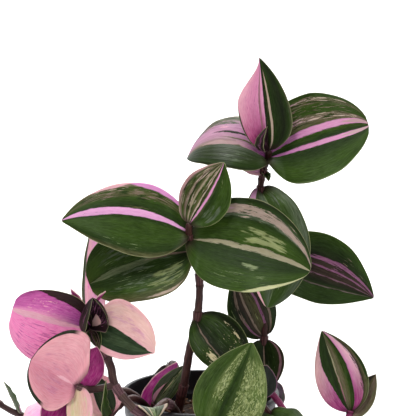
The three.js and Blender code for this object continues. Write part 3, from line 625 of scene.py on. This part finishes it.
def stripe_cover(tree, place, low, high, far_low, far_high, *ends):
    """1 inside a stripe whose edges run from low and high to far_low and far_high, pointed where it ends."""
    middle = tree.along * ((far_low + far_high - low - high) / 2) + (low + high) / 2
    half = tree.along * ((far_high - far_low - high + low) / 2) + (high - low) / 2
    if ends:
        start, end = ends
        body = tree.step(tree.along, start, start + TAPER) * tree.step(tree.along, end, end - TAPER)
        half = half * body
    inside = tree.step(tree.math("ABSOLUTE", place - middle) - half, STRIPE_EDGE, -STRIPE_EDGE)
    return inside * tree.step(body, 0, 0.3) if ends else inside


def fleck_cover(tree, number, right, left, start, end, density, kind="streak"):
    """1 on flecks that are scattered over a part of the leaf."""
    length, width, soft = FLECKS[kind]
    field = tree.spots(length, width, tree.seed + (7 + number), 4, 0.62)
    if kind == "patch":
        field = (tree.streaks - 0.5) * 0.5 + field
    inside = tree.between(tree.across, right, left, 0.1) * tree.between(tree.along, start, end, 0.14)
    limit = 0.62 - 0.3 * density
    return tree.step(inside * 0.5 + (field - 0.5), limit - soft / 2, limit + soft)


def leaf_material(name, look):
    """A leaf's upper face. Its grain shifts the stripes a little from side to side."""
    tree = LeafTree(f"leaf_{name}")
    along = tree.along
    place = tree.across
    for layer, amount in ((tree.streaks, 0.11), (tree.fringe, 0.06), (tree.sway, 0.1)):
        place = (layer - 0.5) * (amount * look.get("ragged", 1)) + place
    flecks = [(fleck_cover(tree, i, *fleck[1:]), fleck[0]) for i, fleck in enumerate(look["flecks"])]
    stripes = [(stripe_cover(tree, place, *stripe[1:]), stripe[0]) for stripe in look.get("stripes", [])]
    colour = tree.ground(place, look["ground"])
    for cover, paint in flecks[::2] + stripes + flecks[1::2]:
        colour = tree.mix(cover, colour, paint)
    if "flush" in look:
        tint, end, side = look["flush"]
        share = tree.step(along, end, 0.02) * 0.95
        if side:
            share = share * tree.step(place, 0, 0.04 * side)
        colour = tree.mix(share * tree.step(tree.bright(colour), 0.12, 0.3), colour, tint)
    colour = tree.mix(tree.step(tree.edge, MARGIN, 0.4 * MARGIN) * 0.5, colour, MARGIN_COLOUR)
    if "border" in look:
        paint, width, start = look["border"]
        cover = tree.step(tree.edge - ((tree.sway - 0.5) * width + width), 0.15, -0.15)
        colour = tree.mix(cover * tree.step(along, start - 0.06, start + 0.06), colour, paint)
    # Darker towards the stem: painted shade where the leaf meets it, over its own dark purple base.
    reach, share = BASE_SHADE
    colour = tree.mix(tree.step(along, reach, 0) * share, colour, STEM_SHADE)
    return tree.satin(colour, 0.4)


def underside_material(name, low, high, edge_colour):
    tree = LeafTree(name)
    colour = tree.mix(tree.step(tree.sway, 0.35, 0.65), low, high)
    rim = tree.step(tree.edge, 1.8 * MARGIN, 0.8 * MARGIN) * 0.8
    return tree.satin(tree.mix(rim, colour, edge_colour), 0.5)


def add_object(name, data, place=(0, 0, 0)):
    """An object of the scene, at a place in metres."""
    thing = bpy.data.objects.new(name, data)
    thing.location = place
    bpy.context.scene.collection.objects.link(thing)
    return thing


def mesh_object(name, points, faces, attributes=None, face_materials=None, smooth=True):
    """A mesh from points in millimetres, with one value for each point in each attribute."""
    mesh = bpy.data.meshes.new(name)
    mesh.from_pydata((np.asarray(points) * MM).tolist(), [], faces)
    mesh.update()
    for key, values in (attributes or {}).items():
        layer = mesh.attributes.new(key, "FLOAT", "POINT")
        layer.data.foreach_set("value", np.asarray(values, np.float32))
    if face_materials is not None:
        mesh.polygons.foreach_set("material_index", face_materials)
    if smooth:
        mesh.shade_smooth()
    return add_object(name, mesh)


def grid_faces(rows, columns, start=0, turned=False, closed=False, looped=False):
    """Four-sided faces between neighbouring points of a grid, which closes across, or also along itself."""
    faces = []
    for i in range(rows if looped else rows - 1):
        row, above = [start + k % rows * columns for k in (i, i + 1)]
        for j in range(columns if closed else columns - 1):
            n = (j + 1) % columns
            face = [row + j, above + j, above + n, row + n]
            faces.append(face[::-1] if turned else face)
    return faces


def tube_faces(rows, sides):
    """Faces of a tube of rings, with one face over each end."""
    last = (rows - 1) * sides
    ends = [list(range(sides))[::-1], list(range(last, last + sides))]
    return grid_faces(rows, sides, turned=True, closed=True) + ends


def turn(vector, axis, angle):
    """A vector turned about an axis of length 1."""
    cos = math.cos(angle)
    return vector * cos + np.cross(axis, vector) * math.sin(angle) + axis * np.dot(axis, vector) * (1 - cos)


def unit(vector):
    return vector / np.linalg.norm(vector)


def smooth_at(values, place):
    """Values on a smooth curve through a row of them, place 0 being the first of them."""
    last = len(values) - 1
    i = np.clip(np.floor(place).astype(int), 0, last - 1)
    f = (place - i)[:, None]
    a, b, c, d = [values[np.clip(i + k, 0, last)] for k in (-1, 0, 1, 2)]
    return b + 0.5 * f * (c - a + f * (2 * a - 5 * b + 4 * c - d + f * (3 * (b - c) + d - a)))


class Route:
    """A stem's centre line, with the distance along it of each of its points."""

    def __init__(self, points):
        points = np.array(points, float)
        padded = np.vstack([2 * points[0] - points[1], points, 2 * points[-1] - points[-2]])
        spans = len(points) - 1
        samples = []
        for k in range(CURVE_STEPS + 1):
            place = spans * k / CURVE_STEPS
            i = min(int(place), spans - 1)
            samples.append(self.point(padded[i:i + 4], place - i))
        self.samples = np.array(samples)
        steps = np.linalg.norm(np.diff(self.samples, axis=0), axis=1)
        self.distances = np.concatenate([[0], np.cumsum(steps)])
        self.length = self.distances[-1]
        self.joints = [self.distances[round(CURVE_STEPS * i / spans)] for i in range(spans + 1)]

    @staticmethod
    def point(four, f):
        """A point of the centripetal Catmull-Rom curve between the second and third of four points."""
        a, b, c, d = four
        before, here, after = [max(np.linalg.norm(q - p) ** 0.5, 1e-4) for p, q in ((a, b), (b, c), (c, d))]
        out = ((b - a) / before - (c - a) / (before + here) + (c - b) / here) * here
        into = ((c - b) / here - (d - b) / (here + after) + (d - c) / after) * here
        return b + f * (out + f * (-3 * b + 3 * c - 2 * out - into + f * (2 * b - 2 * c + out + into)))

    def at(self, s):
        s = np.clip(s, 0, self.length)
        return np.stack([np.interp(s, self.distances, self.samples[:, k]) for k in range(3)], -1)

    def ahead(self, s):
        return unit(self.at(s + 0.6) - self.at(s - 0.6))


def half_width(leaf, t, side):
    """Half the width of a leaf at shares t of its length, on its left (side 1) or its right (side -1)."""
    widest = leaf["widest"] + side * leaf["lean"]
    base, tip = OUTLINE["base"], OUTLINE["tip"]
    low = 1 - np.clip(t / widest, 0, 1)
    low = base + (1 - base) * (1 - low ** OUTLINE["shoulder"]) ** OUTLINE["shoulder_round"]
    high = np.clip((t - widest) / (1 - widest), 0, 1)
    sharpness = leaf["tip"] * (1 + LEAN_TIP * side * leaf["lean"])
    high = tip + (1 - tip) * (1 - high ** OUTLINE["tip_round"]) ** sharpness
    return leaf["width"] / 2 * (1 + side * leaf["skew"]) * np.where(t < widest, low, high)


def midrib(leaf, base):
    """Centres, left sides and upper normals along a leaf."""
    heading, rise, roll = [math.radians(leaf[key]) for key in ("heading", "rise", "roll")]
    flat = math.cos(rise)
    ahead = np.array([math.cos(heading) * flat, math.sin(heading) * flat, math.sin(rise)])
    left = turn(np.array([-math.sin(heading), math.cos(heading), 0]), ahead, roll)
    droop, swing, twist = [math.radians(leaf[key]) / MIDRIB_STEPS for key in ("droop", "turn", "twist")]
    centre = np.array(base, float)
    rows = []
    for _ in range(MIDRIB_STEPS + 1):
        normal = np.cross(ahead, left)
        rows.append((centre.copy(), left, normal))
        centre += ahead * leaf["length"] / MIDRIB_STEPS
        ahead = turn(turn(ahead, left, droop), normal, swing)
        left = turn(unit(left - ahead * np.dot(left, ahead)), ahead, twist)
    return [np.array(row) for row in zip(*rows)]


def leaf_grid(leaf, base, seed):
    """Points of a leaf's two faces, with its places along and across and the distance to its edge."""
    rows = int(np.clip(leaf["length"] / ROW_STEP, 20, 56))
    columns = 2 * int(np.clip(leaf["width"] / COLUMN_STEP / 2, 8, 32)) + 1
    even = np.linspace(0, 1, rows)
    # The rows are closer together towards both ends.
    t = 0.6 * even + 0.4 * (0.5 - 0.5 * np.cos(np.pi * even))
    v = np.linspace(-1, 1, columns)
    centres, lefts, normals = [smooth_at(values, t * MIDRIB_STEPS)[:, None] for values in midrib(leaf, base)]
    t, v = t[:, None], v[None, :]
    half = half_width(leaf, t, np.sign(v))
    opening = np.clip(1 - t / CLASP_END, 0, 1) ** 2
    fold = np.radians(leaf["fold"] + (CLASP - leaf["fold"]) * opening)
    cup = math.radians(leaf["cup"]) or 0.001
    edge = fold + cup * np.abs(v)
    out = np.sign(v) * half * (np.sin(edge) - np.sin(fold)) / cup
    up = half * (np.cos(fold) - np.cos(edge)) / cup
    body = np.sin(np.pi * t)
    wave = leaf["wave"] * v ** 2 * np.sin(2 * np.pi * WAVES * t + 2 * v)
    wave = wave + RELIEF["edge_ripple"] * np.abs(v) ** 3 * np.sin(2 * np.pi * (3.4 * t + seed) + 3 * v)
    wave = wave + RELIEF["ripple"] * np.sin(7.5 * v + 3 * seed) * np.minimum(half / 12, 1)
    veins = RELIEF["veins"] * np.cos(2 * np.pi * 5.5 * v) * body
    rib = np.exp(-(v * half / RELIEF["rib_width"]) ** 2) * (1 - t) ** 0.6
    thickness = THICKNESS * (1 - 0.45 * np.abs(v) ** 3)
    middle = centres + lefts * out[..., None] + normals * (up + wave * body)[..., None]
    top = middle + normals * (thickness / 2 + veins - RELIEF["groove"] * rib)[..., None]
    under = middle - normals * (thickness / 2 - veins + RELIEF["rib"] * rib)[..., None]
    return top, under, t, v, (1 - np.abs(v)) * half


def leaf_piece(name, leaf, base, seed):
    top, under, t, v, distance = leaf_grid(leaf, base, seed)
    rows, columns = distance.shape
    count = rows * columns
    points = np.concatenate([top.reshape(-1, 3), under.reshape(-1, 3)])
    faces = grid_faces(rows, columns) + grid_faces(rows, columns, count, turned=True)
    kinds = np.repeat([0, 1], len(faces) // 2).tolist()
    index = np.arange(count).reshape(rows, columns)
    # The points along the leaf's whole outline, joined to those of the underside by a narrow band.
    border = np.concatenate([index[0], index[1:, -1], index[-1, -2::-1], index[-2:0:-1, 0]]).tolist()
    faces += [[a, b, b + count, a + count] for a, b in zip(border, border[1:] + border[:1])]
    kinds += [0] * len(border)
    values = dict(
        leaf_t=t, leaf_v=v, leaf_edge=distance, leaf_seed=10 * seed, leaf_length=leaf["length"],
        leaf_half=leaf["width"] / 2,
    )
    values = {key: np.tile(np.broadcast_to(row, index.shape).reshape(-1), 2) for key, row in values.items()}
    return mesh_object(name, points, faces, values, kinds)


def stem_profile(stem, route):
    """Distances along a stem, the radius there, and how much of a sheath covers it."""
    def radius(s):
        return stem["radius"] * (1 + (stem["taper"] - 1) * s / route.length)

    wall = JOINT["wall"]
    stations = [(0, radius(0), 0)]
    for i in stem["joints"]:
        top = route.joints[i]
        low = top - JOINT["sheath"]
        below, above = radius(low), radius(top)
        swollen = below + JOINT["swelling"]
        lip = above + wall + JOINT["flare"]
        stations += [
            (low - 3, below, 0), (low - 1.2, swollen, 0), (low - 0.4, swollen, 0),
            (low + 0.3, below + 0.5 * wall, 1), (low + 3, below + wall, 1), (top - 0.3, lip, 1),
            (top, lip - 0.15, 1), (top + 0.1, above + 0.1, 0), (top + 0.4, above, 0),
        ]
    end = radius(route.length)
    stations += [(route.length - 1, end, 0), (route.length, 0.7 * end, 0)]
    known, radii, cover = np.array(sorted(stations)).T
    s = np.unique(np.concatenate([np.arange(0, route.length, RING_STEP), known.clip(0, route.length)]))
    return s, np.interp(s, known, radii), np.interp(s, known, cover)


def tube_points(route, s, radii, angles):
    """Rings of points round a stem."""
    side = np.array([1.0, 0, 0])
    rings = []
    for distance, ring in zip(s, radii):
        ahead = route.ahead(distance)
        side = unit(side - ahead * np.dot(side, ahead))
        turned = np.cos(angles)[:, None] * side + np.sin(angles)[:, None] * np.cross(ahead, side)
        rings.append(route.at(distance) + turned * ring[:, None])
    return np.concatenate(rings)


def hair_mesh(base, direction, length, thickness):
    """A thin three-sided hair that bends a little."""
    side = unit(np.cross(direction, [0.3, 0.5, 0.8]))
    up = np.cross(direction, side)
    bend = 0.25 * length * up
    points = []
    for share, width in ((0, 1), (0.5, 0.7)):
        centre = base + direction * length * share + bend * share ** 2
        for angle in (0, 2 * math.pi / 3, 4 * math.pi / 3):
            points.append(centre + width * thickness * (math.cos(angle) * side + math.sin(angle) * up))
    points.append(base + direction * length + bend)
    faces = [[0, 2, 1]]
    for k, n in ((0, 1), (1, 2), (2, 0)):
        faces += [[k, n, n + 3, k + 3], [k + 3, n + 3, 6]]
    return points, faces


def stem_mesh(stem, route, draw):
    """Points, faces and values of a stem with ribbed sheaths and a few hairs at the mouth of each."""
    s, radii, sheath = stem_profile(stem, route)
    angles = 2 * np.pi * np.arange(RING_SIDES) / RING_SIDES
    ribs = JOINT["rib"] * sheath[:, None] * np.cos(JOINT["ribs"] * angles)
    # Long and short unevenness of up to a tenth of a millimetre.
    uneven = 0.09 * np.sin(0.21 * s[:, None] + 2 * angles) + 0.05 * np.sin(0.9 * s[:, None] + angles)
    points = list(tube_points(route, s, radii[:, None] + ribs + uneven, angles))
    faces = tube_faces(len(s), RING_SIDES)
    values = [np.repeat(s, RING_SIDES), np.repeat(sheath, RING_SIDES), np.tile(angles, len(s))]
    values = [list(row) for row in values]
    for i in stem["joints"]:
        top = route.joints[i] - 0.4
        ahead = route.ahead(top)
        for _ in range(JOINT["hairs"]):
            out = np.array([draw.gauss(0, 1) for _ in range(3)])
            out = unit(out - ahead * np.dot(out, ahead))
            base = route.at(top) + out * (0.9 * stem["radius"] + JOINT["wall"])
            hair, sides = hair_mesh(base, unit(ahead + 0.5 * out), draw.uniform(1.6, 3), JOINT["hair"])
            faces += [[len(points) + k for k in face] for face in sides]
            points += hair
            for row, value in zip(values, (top, 0, 0)):
                row += [value] * len(hair)
    return points, faces, dict(zip(("stem_s", "stem_sheath", "stem_angle"), values))


def stem_material(name, low, high, sheath_colour, joint_colour):
    """Streaks that run along the stem, with paler, veined sheaths and darker joints."""
    tree = Tree(name)
    s, angle, sheath = [tree.attribute(f"stem_{key}") for key in ("s", "angle", "sheath")]
    where = tree.vector(tree.math("COSINE", angle) * 2.6, tree.math("SINE", angle) * 2.6, s * 0.07)
    streaks = tree.noise(where, 1.6, detail=5)
    patches = tree.noise(tree.position(), 45)
    colour = tree.mix(tree.step(streaks, 0.38, 0.62), low, high)
    colour = tree.mix(tree.step(patches, 0.45, 0.75), colour, joint_colour)
    lines = tree.step(streaks * 0.25 + tree.math("PINGPONG", angle * 1.6, 0.5), 0.42, 0.55)
    colour = tree.mix(sheath, colour, tree.mix(lines, sheath_colour, joint_colour))
    grain = tree.noise(tree.position(), 2200, detail=2)
    tree.bump(streaks + grain * 0.4, strength=0.35, distance=0.0005)
    return tree.finish(tree.shade(colour, streaks * 0.5 + 0.75), grain * 0.2 + 0.38, specular=0.25)


def soften(profile, radius, steps=3):
    """A profile whose corners are rounded by about radius."""
    profile = [np.array(p, float) for p in profile]
    out = [profile[0]]
    for a, b, c in zip(profile, profile[1:], profile[2:]):
        start, end = [b + unit(p - b) * min(radius, 0.45 * np.linalg.norm(p - b)) for p in (a, c)]
        for k in range(steps + 1):
            f = k / steps
            out.append((1 - f) ** 2 * start + 2 * f * (1 - f) * b + f * f * end)
    return out + [profile[-1]]


def pot_inside(z):
    share = (z - POT["bevel"]) / (POT["collar_height"] - POT["bevel"])
    foot = POT["base"] + POT["bevel"]
    return foot + (POT["collar"] - foot) * share - POT["wall"]


def pot_profile():
    height, collar_height, rim, wall = POT["height"], POT["collar_height"], POT["rim"], POT["wall"]
    collar_top = rim - POT["lip_out"]
    collar_foot = collar_top - 0.8
    lip = height - POT["lip_depth"]
    middle = POT["plate"] - 0.1
    return [
        (middle, 0), (POT["base"], 0), (POT["base"] + POT["bevel"], POT["bevel"]),
        (POT["collar"], collar_height), (collar_foot, collar_height + 0.6), (collar_top, lip - 0.4),
        (rim, lip), (rim, height - 0.6), (rim - 0.6, height), (collar_foot - 0.4, height),
        (collar_top - wall, lip), (collar_foot - wall, collar_height + wall),
        (POT["collar"] - wall, collar_height), (pot_inside(POT["floor"]), POT["floor"]),
        (middle, POT["floor"]),
    ]


def ring_points(profile, sides):
    """Rings of points about Z from a profile of (radius, height)."""
    angles = [2 * math.pi * k / sides for k in range(sides)]
    return [(r * math.cos(angle), r * math.sin(angle), z) for r, z in profile for angle in angles]


def lathe(name, profile, sides):
    """A closed ring turned about Z from a closed profile."""
    faces = grid_faces(len(profile), sides, turned=True, closed=True, looped=True)
    return mesh_object(name, ring_points(profile, sides), faces)


def pot_floor():
    """The pot's floor plate, which fills the ring of the wall's foot, with its drain holes cut through."""
    edge, top = POT["plate"], POT["floor"]
    plate = lathe("pot_floor", soften([(0.02, 0), (edge, 0), (edge, top), (0.02, top)], 0.1), POT["sides"])
    for i in range(POT["drains"]):
        angle = 2 * math.pi * i / POT["drains"]
        place = [POT["drain_circle"] * MM * share for share in (math.cos(angle), math.sin(angle), 0)]
        radius = POT["drain"] * MM
        bpy.ops.mesh.primitive_cylinder_add(vertices=40, radius=radius, depth=0.02, location=place)
        hole = bpy.context.object
        cut = plate.modifiers.new("hole", "BOOLEAN")
        cut.object = hole
        cut.operation = "DIFFERENCE"
        bpy.context.view_layer.objects.active = plate
        bpy.ops.object.modifier_apply(modifier="hole")
        bpy.data.objects.remove(hole)
    return plate


def pot_material():
    """Dark moulded plastic with fine rings, faint scuffs, and dried dust towards the rim."""
    tree = Tree("pot_plastic")
    where = tree.position()
    height = tree.add("SeparateXYZ", "Z", dict(Vector=where))
    wear = tree.noise(where, 28, detail=6, roughness=0.65)
    fine = tree.noise(where, 420, detail=4)
    rings = tree.math("SINE", height * 5200)
    colour = tree.mix(tree.step(wear, 0.4, 0.7), "141416", "1e1e21")
    dust = tree.step(fine, 0.5, 0.68) * tree.step(wear, 0.42, 0.72)
    high = tree.step(height, 0.03, 0.085)
    colour = tree.mix(dust * (high * 0.3 + 0.1), colour, "4a443e")
    tree.bump(fine + wear + rings * 0.12, strength=0.18, distance=0.0006)
    return tree.finish(colour, dust * 0.3 + (wear * 0.25 + 0.38), specular=0.3)


def soil_height(x, y, edge):
    """The height of the soil's top, which is mounded, lumpy and crumbly, and plain at its edge."""
    inward = min(1, (edge - math.hypot(x, y)) / SOIL["edge"])
    lumps = math.sin(0.31 * x + 1) * math.cos(0.27 * y) + 0.5 * math.sin(0.6 * x - 0.5 * y)
    crumbs = noise.fractal(Vector((0.35 * x, 0.35 * y, 4)), 1, 2, 4)
    return SOIL["top"] + inward * (SOIL["mound"] * (0.6 + 0.5 * lumps) + SOIL["crumbs"] * crumbs)


def chip_mesh(draw, size, flatness):
    """A rough chip with eight corners."""
    signs = [(x, y, z) for x in (-1, 1) for y in (-1, 1) for z in (-1, 1)]
    corners = np.array([[c * draw.uniform(0.5, 1) for c in corner] for corner in signs])
    points = corners * size * [1, draw.uniform(0.4, 0.9), flatness]
    angle, tilt = draw.uniform(0, 2 * math.pi), draw.uniform(-0.5, 0.5)
    points = [turn(turn(p, np.array([1.0, 0, 0]), tilt), np.array([0, 0, 1.0]), angle) for p in points]
    return points, [[0, 1, 3, 2], [4, 6, 7, 5], [0, 4, 5, 1], [2, 3, 7, 6], [0, 2, 6, 4], [1, 5, 7, 3]]


def soil_mesh(draw):
    """The soil's body with a lumpy top, and loose bark and pale grains on it."""
    sides, rings = SOIL["sides"], SOIL["rings"]
    bottom = POT["floor"] + GAP
    edge = pot_inside(SOIL["top"]) - GAP
    wall = [(0.05, bottom), (pot_inside(bottom) - GAP, bottom), (edge, SOIL["top"])]
    top = [(edge * (rings - i) / rings + 0.05, SOIL["top"]) for i in range(1, rings + 1)]
    points = ring_points(wall, sides)
    points += [(x, y, soil_height(x, y, edge)) for x, y, _ in ring_points(top, sides)]
    faces = tube_faces(len(wall + top), sides)
    kinds = [0] * len(faces)
    for _ in range(SOIL["chips"]):
        angle, reach = draw.uniform(0, 2 * math.pi), edge * math.sqrt(draw.random()) * 0.98
        x, y = reach * math.cos(angle), reach * math.sin(angle)
        pale = draw.random() < SOIL["pale"]
        size = draw.uniform(0.5, 1.1) if pale else draw.uniform(0.6, 2.4)
        chip, chip_faces = chip_mesh(draw, size, 1 if pale else draw.uniform(0.3, 0.8))
        centre = np.array([x, y, soil_height(x, y, edge) + SOIL["lift"] * size])
        faces += [[len(points) + k for k in face] for face in chip_faces]
        kinds += [1 if pale else 2] * len(chip_faces)
        points += [tuple(centre + p) for p in chip]
    return points, faces, kinds


def crumb_material(name, low, high, scale, rough):
    tree = Tree(name)
    where = tree.position()
    patches = tree.noise(where, scale, detail=6, roughness=0.7)
    grain = tree.noise(where, 1500, detail=4, roughness=0.7)
    colour = tree.mix(tree.step(patches, 0.35, 0.68), low, high)
    tree.bump(grain + patches * 2, strength=0.8, distance=0.0009)
    return tree.finish(tree.shade(colour, grain * 0.9 + 0.55), rough, specular=0.25)


def join(pieces, name):
    bpy.ops.object.select_all(action="DESELECT")
    for piece in pieces:
        piece.select_set(True)
    bpy.context.view_layer.objects.active = pieces[0]
    bpy.ops.object.join()
    joined = bpy.context.object
    joined.name = name
    return joined


def settle(piece, slot, *nodes):
    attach(piece, "root")
    if nodes:
        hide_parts(*nodes)


def make_pot():
    wall = lathe("pot_wall", soften(pot_profile(), POT["softness"]), POT["sides"])
    pot = join([wall, pot_floor()], "nursery_pot")
    pot.data.materials.clear()
    pot.data.materials.append(pot_material())
    pot.data.shade_smooth()
    settle(pot, "pot_plastic", "pot")


def make_soil():
    points, faces, kinds = soil_mesh(random.Random(SOIL_SEED))
    soil = mesh_object("potting_mix", points, faces, face_materials=kinds, smooth=False)
    for mix in SOIL_MIX:
        soil.data.materials.append(crumb_material(*mix))
    settle(soil, "potting_soil", "soil")


def make_leaf(name, leaf, route, seed, materials, *nodes):
    s = min(route.joints[leaf["joint"]] + leaf["slide"], route.length)
    piece = leaf_piece(name, leaf, route.at(s), seed)
    under = LOOKS[leaf["look"]].get("under", "green")
    piece.data.materials.append(materials[leaf["look"]])
    piece.data.materials.append(materials[f"under_{under}"])
    settle(piece, "pink_leaf" if under in PINK_UNDERSIDES else "green_leaf", *nodes)


def make_plant():
    materials = {name: leaf_material(name, look) for name, look in LOOKS.items()}
    for name, colours in UNDERSIDES.items():
        materials[f"under_{name}"] = underside_material(f"leaf_under_{name}", *colours)
    skins = {name: stem_material(f"stem_{name}", *colours) for name, colours in STEM_SKINS.items()}
    draw = random.Random(PLANT_SEED)
    meshes = {}
    for name, stem in STEMS.items():
        route = Route(stem["route"])
        meshes.setdefault(stem.get("branch_of", name), []).append(stem_mesh(stem, route, draw))
        for i, row in enumerate(stem["leaves"], 1):
            make_leaf(f"blade_{name}_{i}", row, route, draw.random(), materials, f"leaf_{name}_{i}")
        for i, row in enumerate(stem.get("young", []) + stem.get("buds", []), 1):
            make_leaf(f"young_{name}_{i}", row, route, draw.random(), materials)
    for body, parts in meshes.items():
        tubes = [mesh_object(f"tube_{body}_{i}", *part) for i, part in enumerate(parts)]
        stalk = join(tubes, f"stalk_{body}")
        stalk.data.materials.append(skins[STEM_LOOKS.get(body, "brown")])
        settle(stalk, "stem_skin", f"stem_{body}")


# The camera stands in front of the plant and looks down a little, and its field of view is the photo's.
CAMERA = dict(place=(0.0049, -0.7925, 0.3231), tilt=81, lens=116.8, sensor=36)
LIGHTS = dict(  # place, target, size and power, in metres and watts
    key=((-0.4, -0.9, 1.35), (0, 0, 0.15), 0.5, 10.5), fill=((0.9, -0.9, 0.7), (0, 0, 0.15), 1, 3.5),
    back=((0.3, 0.9, 1.2), (0, 0, 0.15), 0.8, 4), backdrop=((0, 0.9, 2.4), (0, 2.2, 0.9), 1.6, 110),
)
STAGE = dict(reach=4000, back=2200, curve=1000, steps=12)


def make_camera():
    data = bpy.data.cameras.new("camera")
    data.lens = CAMERA["lens"]
    data.sensor_width = CAMERA["sensor"]
    data.clip_end = 50
    camera = add_object("camera", data, CAMERA["place"])
    camera.rotation_euler = (math.radians(CAMERA["tilt"]), 0, 0)
    bpy.context.scene.camera = camera


def make_light(name, place, target, size, power):
    data = bpy.data.lights.new(name, "AREA")
    data.shape = "DISK"
    data.size = size
    data.energy = power
    aim = Vector(target) - Vector(place)
    add_object(name, data, place).rotation_euler = aim.to_track_quat("-Z", "Y").to_euler()


def make_stage():
    """A pale floor that curves up into a backdrop."""
    reach, back, curve, steps = [STAGE[key] for key in ("reach", "back", "curve", "steps")]
    angles = [math.pi / 2 * k / steps for k in range(steps + 1)]
    profile = [(-reach, 0)]
    profile += [(back - curve + curve * math.sin(a), curve * (1 - math.cos(a))) for a in angles]
    profile += [(back, reach)]
    points = [(x, y, z) for y, z in profile for x in (-reach, reach)]
    floor = mesh_object("floor", points, grid_faces(len(profile), 2, turned=True))
    tree = Tree("floor_paint")
    colour = tree.mix(tree.noise(tree.position(), 3, detail=2), "f0f1f3", "f7f7f8")
    floor.data.materials.append(tree.finish(colour, 0.8))


def make_lights():
    world = bpy.data.worlds.new("studio")
    bpy.context.scene.world = world
    world.use_nodes = True
    background = world.node_tree.nodes["Background"]
    background.inputs["Color"].default_value = rgb("f6f8fc")
    background.inputs["Strength"].default_value = 0.3
    for name, light in LIGHTS.items():
        make_light(name, *light)
    bpy.context.scene.view_settings.view_transform = "Standard"


make_camera()
make_stage()
make_lights()
make_pot()
make_soil()
make_plant()
